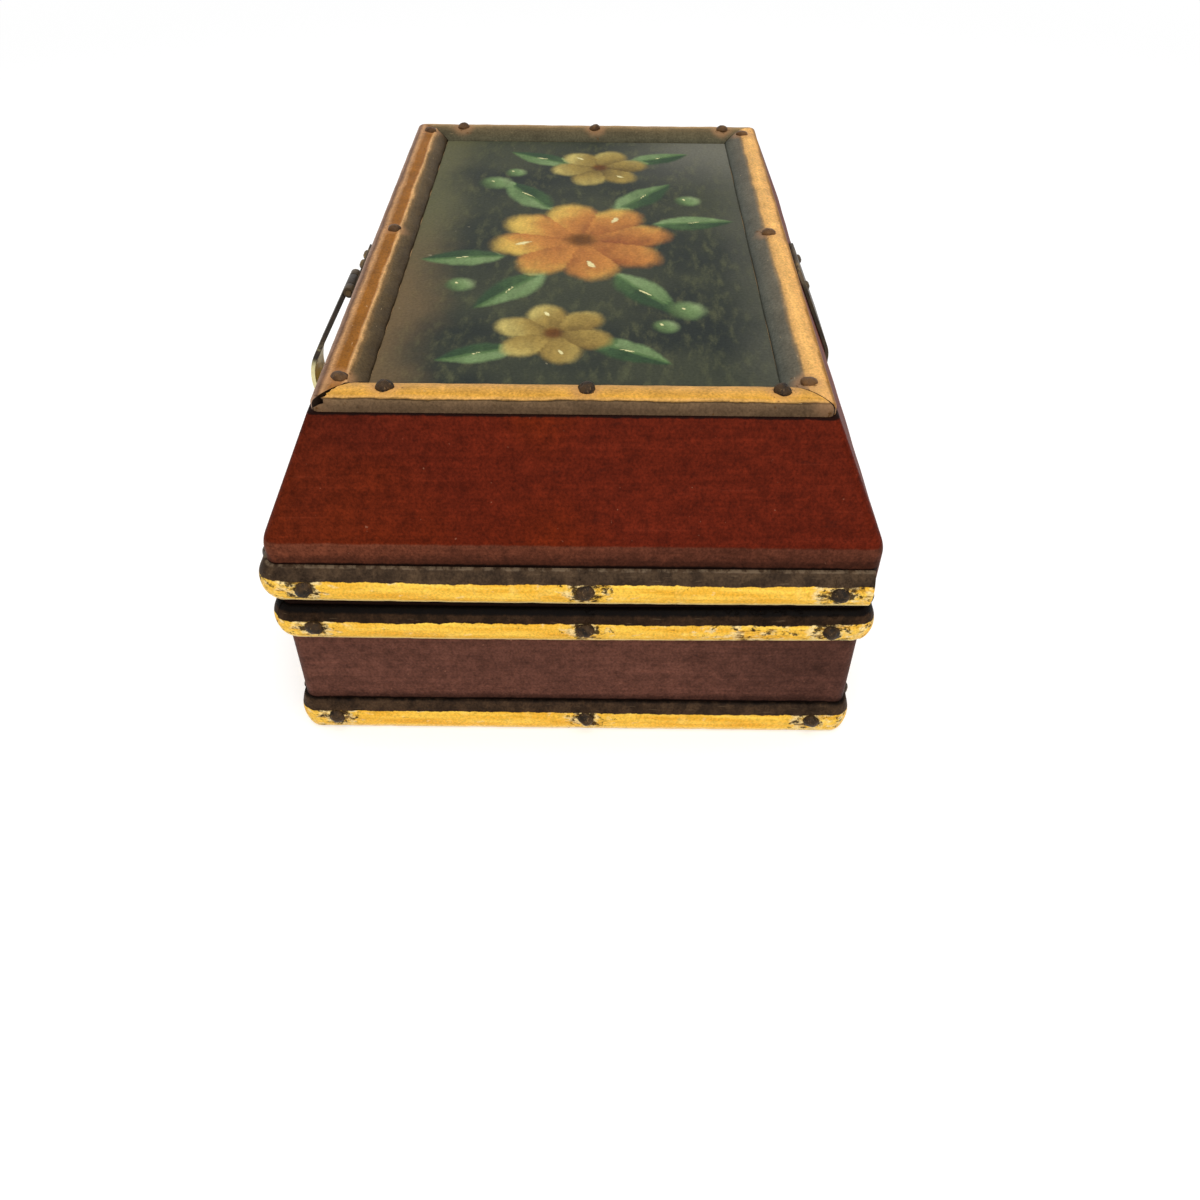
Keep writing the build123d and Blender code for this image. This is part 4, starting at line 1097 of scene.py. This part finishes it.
# Table, light and camera.
# A pale table that shows as white with the box's soft shadow, an even white surround, a broad
# lamp overhead and a window ahead. The table is clear from below, with a hole under the box.
TABLE_RADIUS = 3.0
TABLE_SIDES = 96
HOLE_INSET = 0.002
TABLE_ALBEDO = 0.78
TABLE_LIFT = 0.42
WHITE_FROM = 0.35
WHITE_AT = 0.9
WHITE = (1, 1, 1, 1)
SURROUND = 0.50
LAMPS = {"overhead": ((0.15, 0.05, 1.1), 0.9, 5.5), "window": ((1.0, 0.15, 0.55), 0.7, 4.0)}
LAMP_TARGET = Vector((0, 0, 0.05))
LENS = 31.14
CAMERA_PLACE = (0.29968, 0.0066, 0.2250)
CAMERA_PITCH = 42.56
CAMERA_ROLL = 0.6
angle = np.linspace(0, 2 * math.pi, TABLE_SIDES, endpoint=False)
ray = np.stack([np.cos(angle), np.sin(angle)])
hole = ((np.array(base_half)[:, None] - HOLE_INSET) / np.maximum(np.abs(ray), 1e-6)).min(axis=0)
reach = np.stack([hole, np.full(TABLE_SIDES, TABLE_RADIUS)])
points = stacked(reach * ray[0], reach * ray[1], 0.0).reshape(-1, 3)
table = bpy.data.meshes.new("table")
faces = quads_over(np.arange(2 * TABLE_SIDES).reshape(2, -1), ring=True)
table.from_pydata(points.tolist(), [], faces)
table_top = linked("table", table)


def seen_plainly(wires):
    """1 for rays from the camera, off metal or through glass, and 0 for light on the box."""
    seen = 0.0
    for ray in ("Is Camera Ray", "Is Glossy Ray", "Is Transmission Ray"):
        seen = wires.calc("MAXIMUM", seen, wires.node("LightPath", {}, ray))
    return seen


cloth = Finish("table_white", Roughness=0.9, Specular_IOR_Level=0.0)
cloth.give(Base_Color=[TABLE_ALBEDO] * 3 + [1])
seen = seen_plainly(cloth)
lift = cloth.calc("MULTIPLY", seen, TABLE_LIFT)
lifted = cloth.node("Emission", {"Color": WHITE, "Strength": lift})
near_box = cloth.node("AddShader", {0: cloth.skin.outputs[0], 1: lifted})
away = cloth.node("VectorMath", {0: cloth.solid}, "Value", operation="LENGTH")
far = cloth.calc("MULTIPLY", seen, cloth.grade(away, WHITE_FROM, WHITE_AT))
plain_white = cloth.node("Emission", {"Color": WHITE, "Strength": 1.0})
upper_face = cloth.node("MixShader", {0: far, 1: near_box, 2: plain_white})
from_below = cloth.node("NewGeometry", {}, "Backfacing")
clear = cloth.node("BsdfTransparent", {})
table_skin = cloth.node("MixShader", {0: from_below, 1: upper_face, 2: clear})
cloth.feed(cloth.tree.nodes["Material Output"].inputs["Surface"], table_skin)
table.materials.append(cloth.block)

sky = Finish("surround", "worlds", "Background", Color=WHITE)
sky.give(Strength=sky.scaled(seen_plainly(sky), SURROUND, 1.0))
bpy.context.scene.world = sky.block

for name, (place, size, power) in LAMPS.items():
    light = bpy.data.lights.new(name, "AREA")
    light.energy = power
    light.size = size
    lamp = linked(name, light)
    lamp.location = place
    lamp.rotation_mode = "QUATERNION"
    lamp.rotation_quaternion = (LAMP_TARGET - lamp.location).to_track_quat("-Z", "Y")

camera_data = bpy.data.cameras.new("camera")
camera_data.lens = LENS
camera_data.sensor_width = 36.0
camera_data.clip_start = 0.01
camera_data.clip_end = 20.0
camera = linked("camera", camera_data)
turns = ((90, "Z"), (90 - CAMERA_PITCH, "X"), (CAMERA_ROLL, "Z"))
first, second, third = (Matrix.Rotation(math.radians(turn), 4, axis) for turn, axis in turns)
camera.matrix_world = Matrix.Translation(CAMERA_PLACE) @ first @ second @ third
bpy.context.scene.camera = camera
bpy.context.scene.view_settings.view_transform = "Standard"
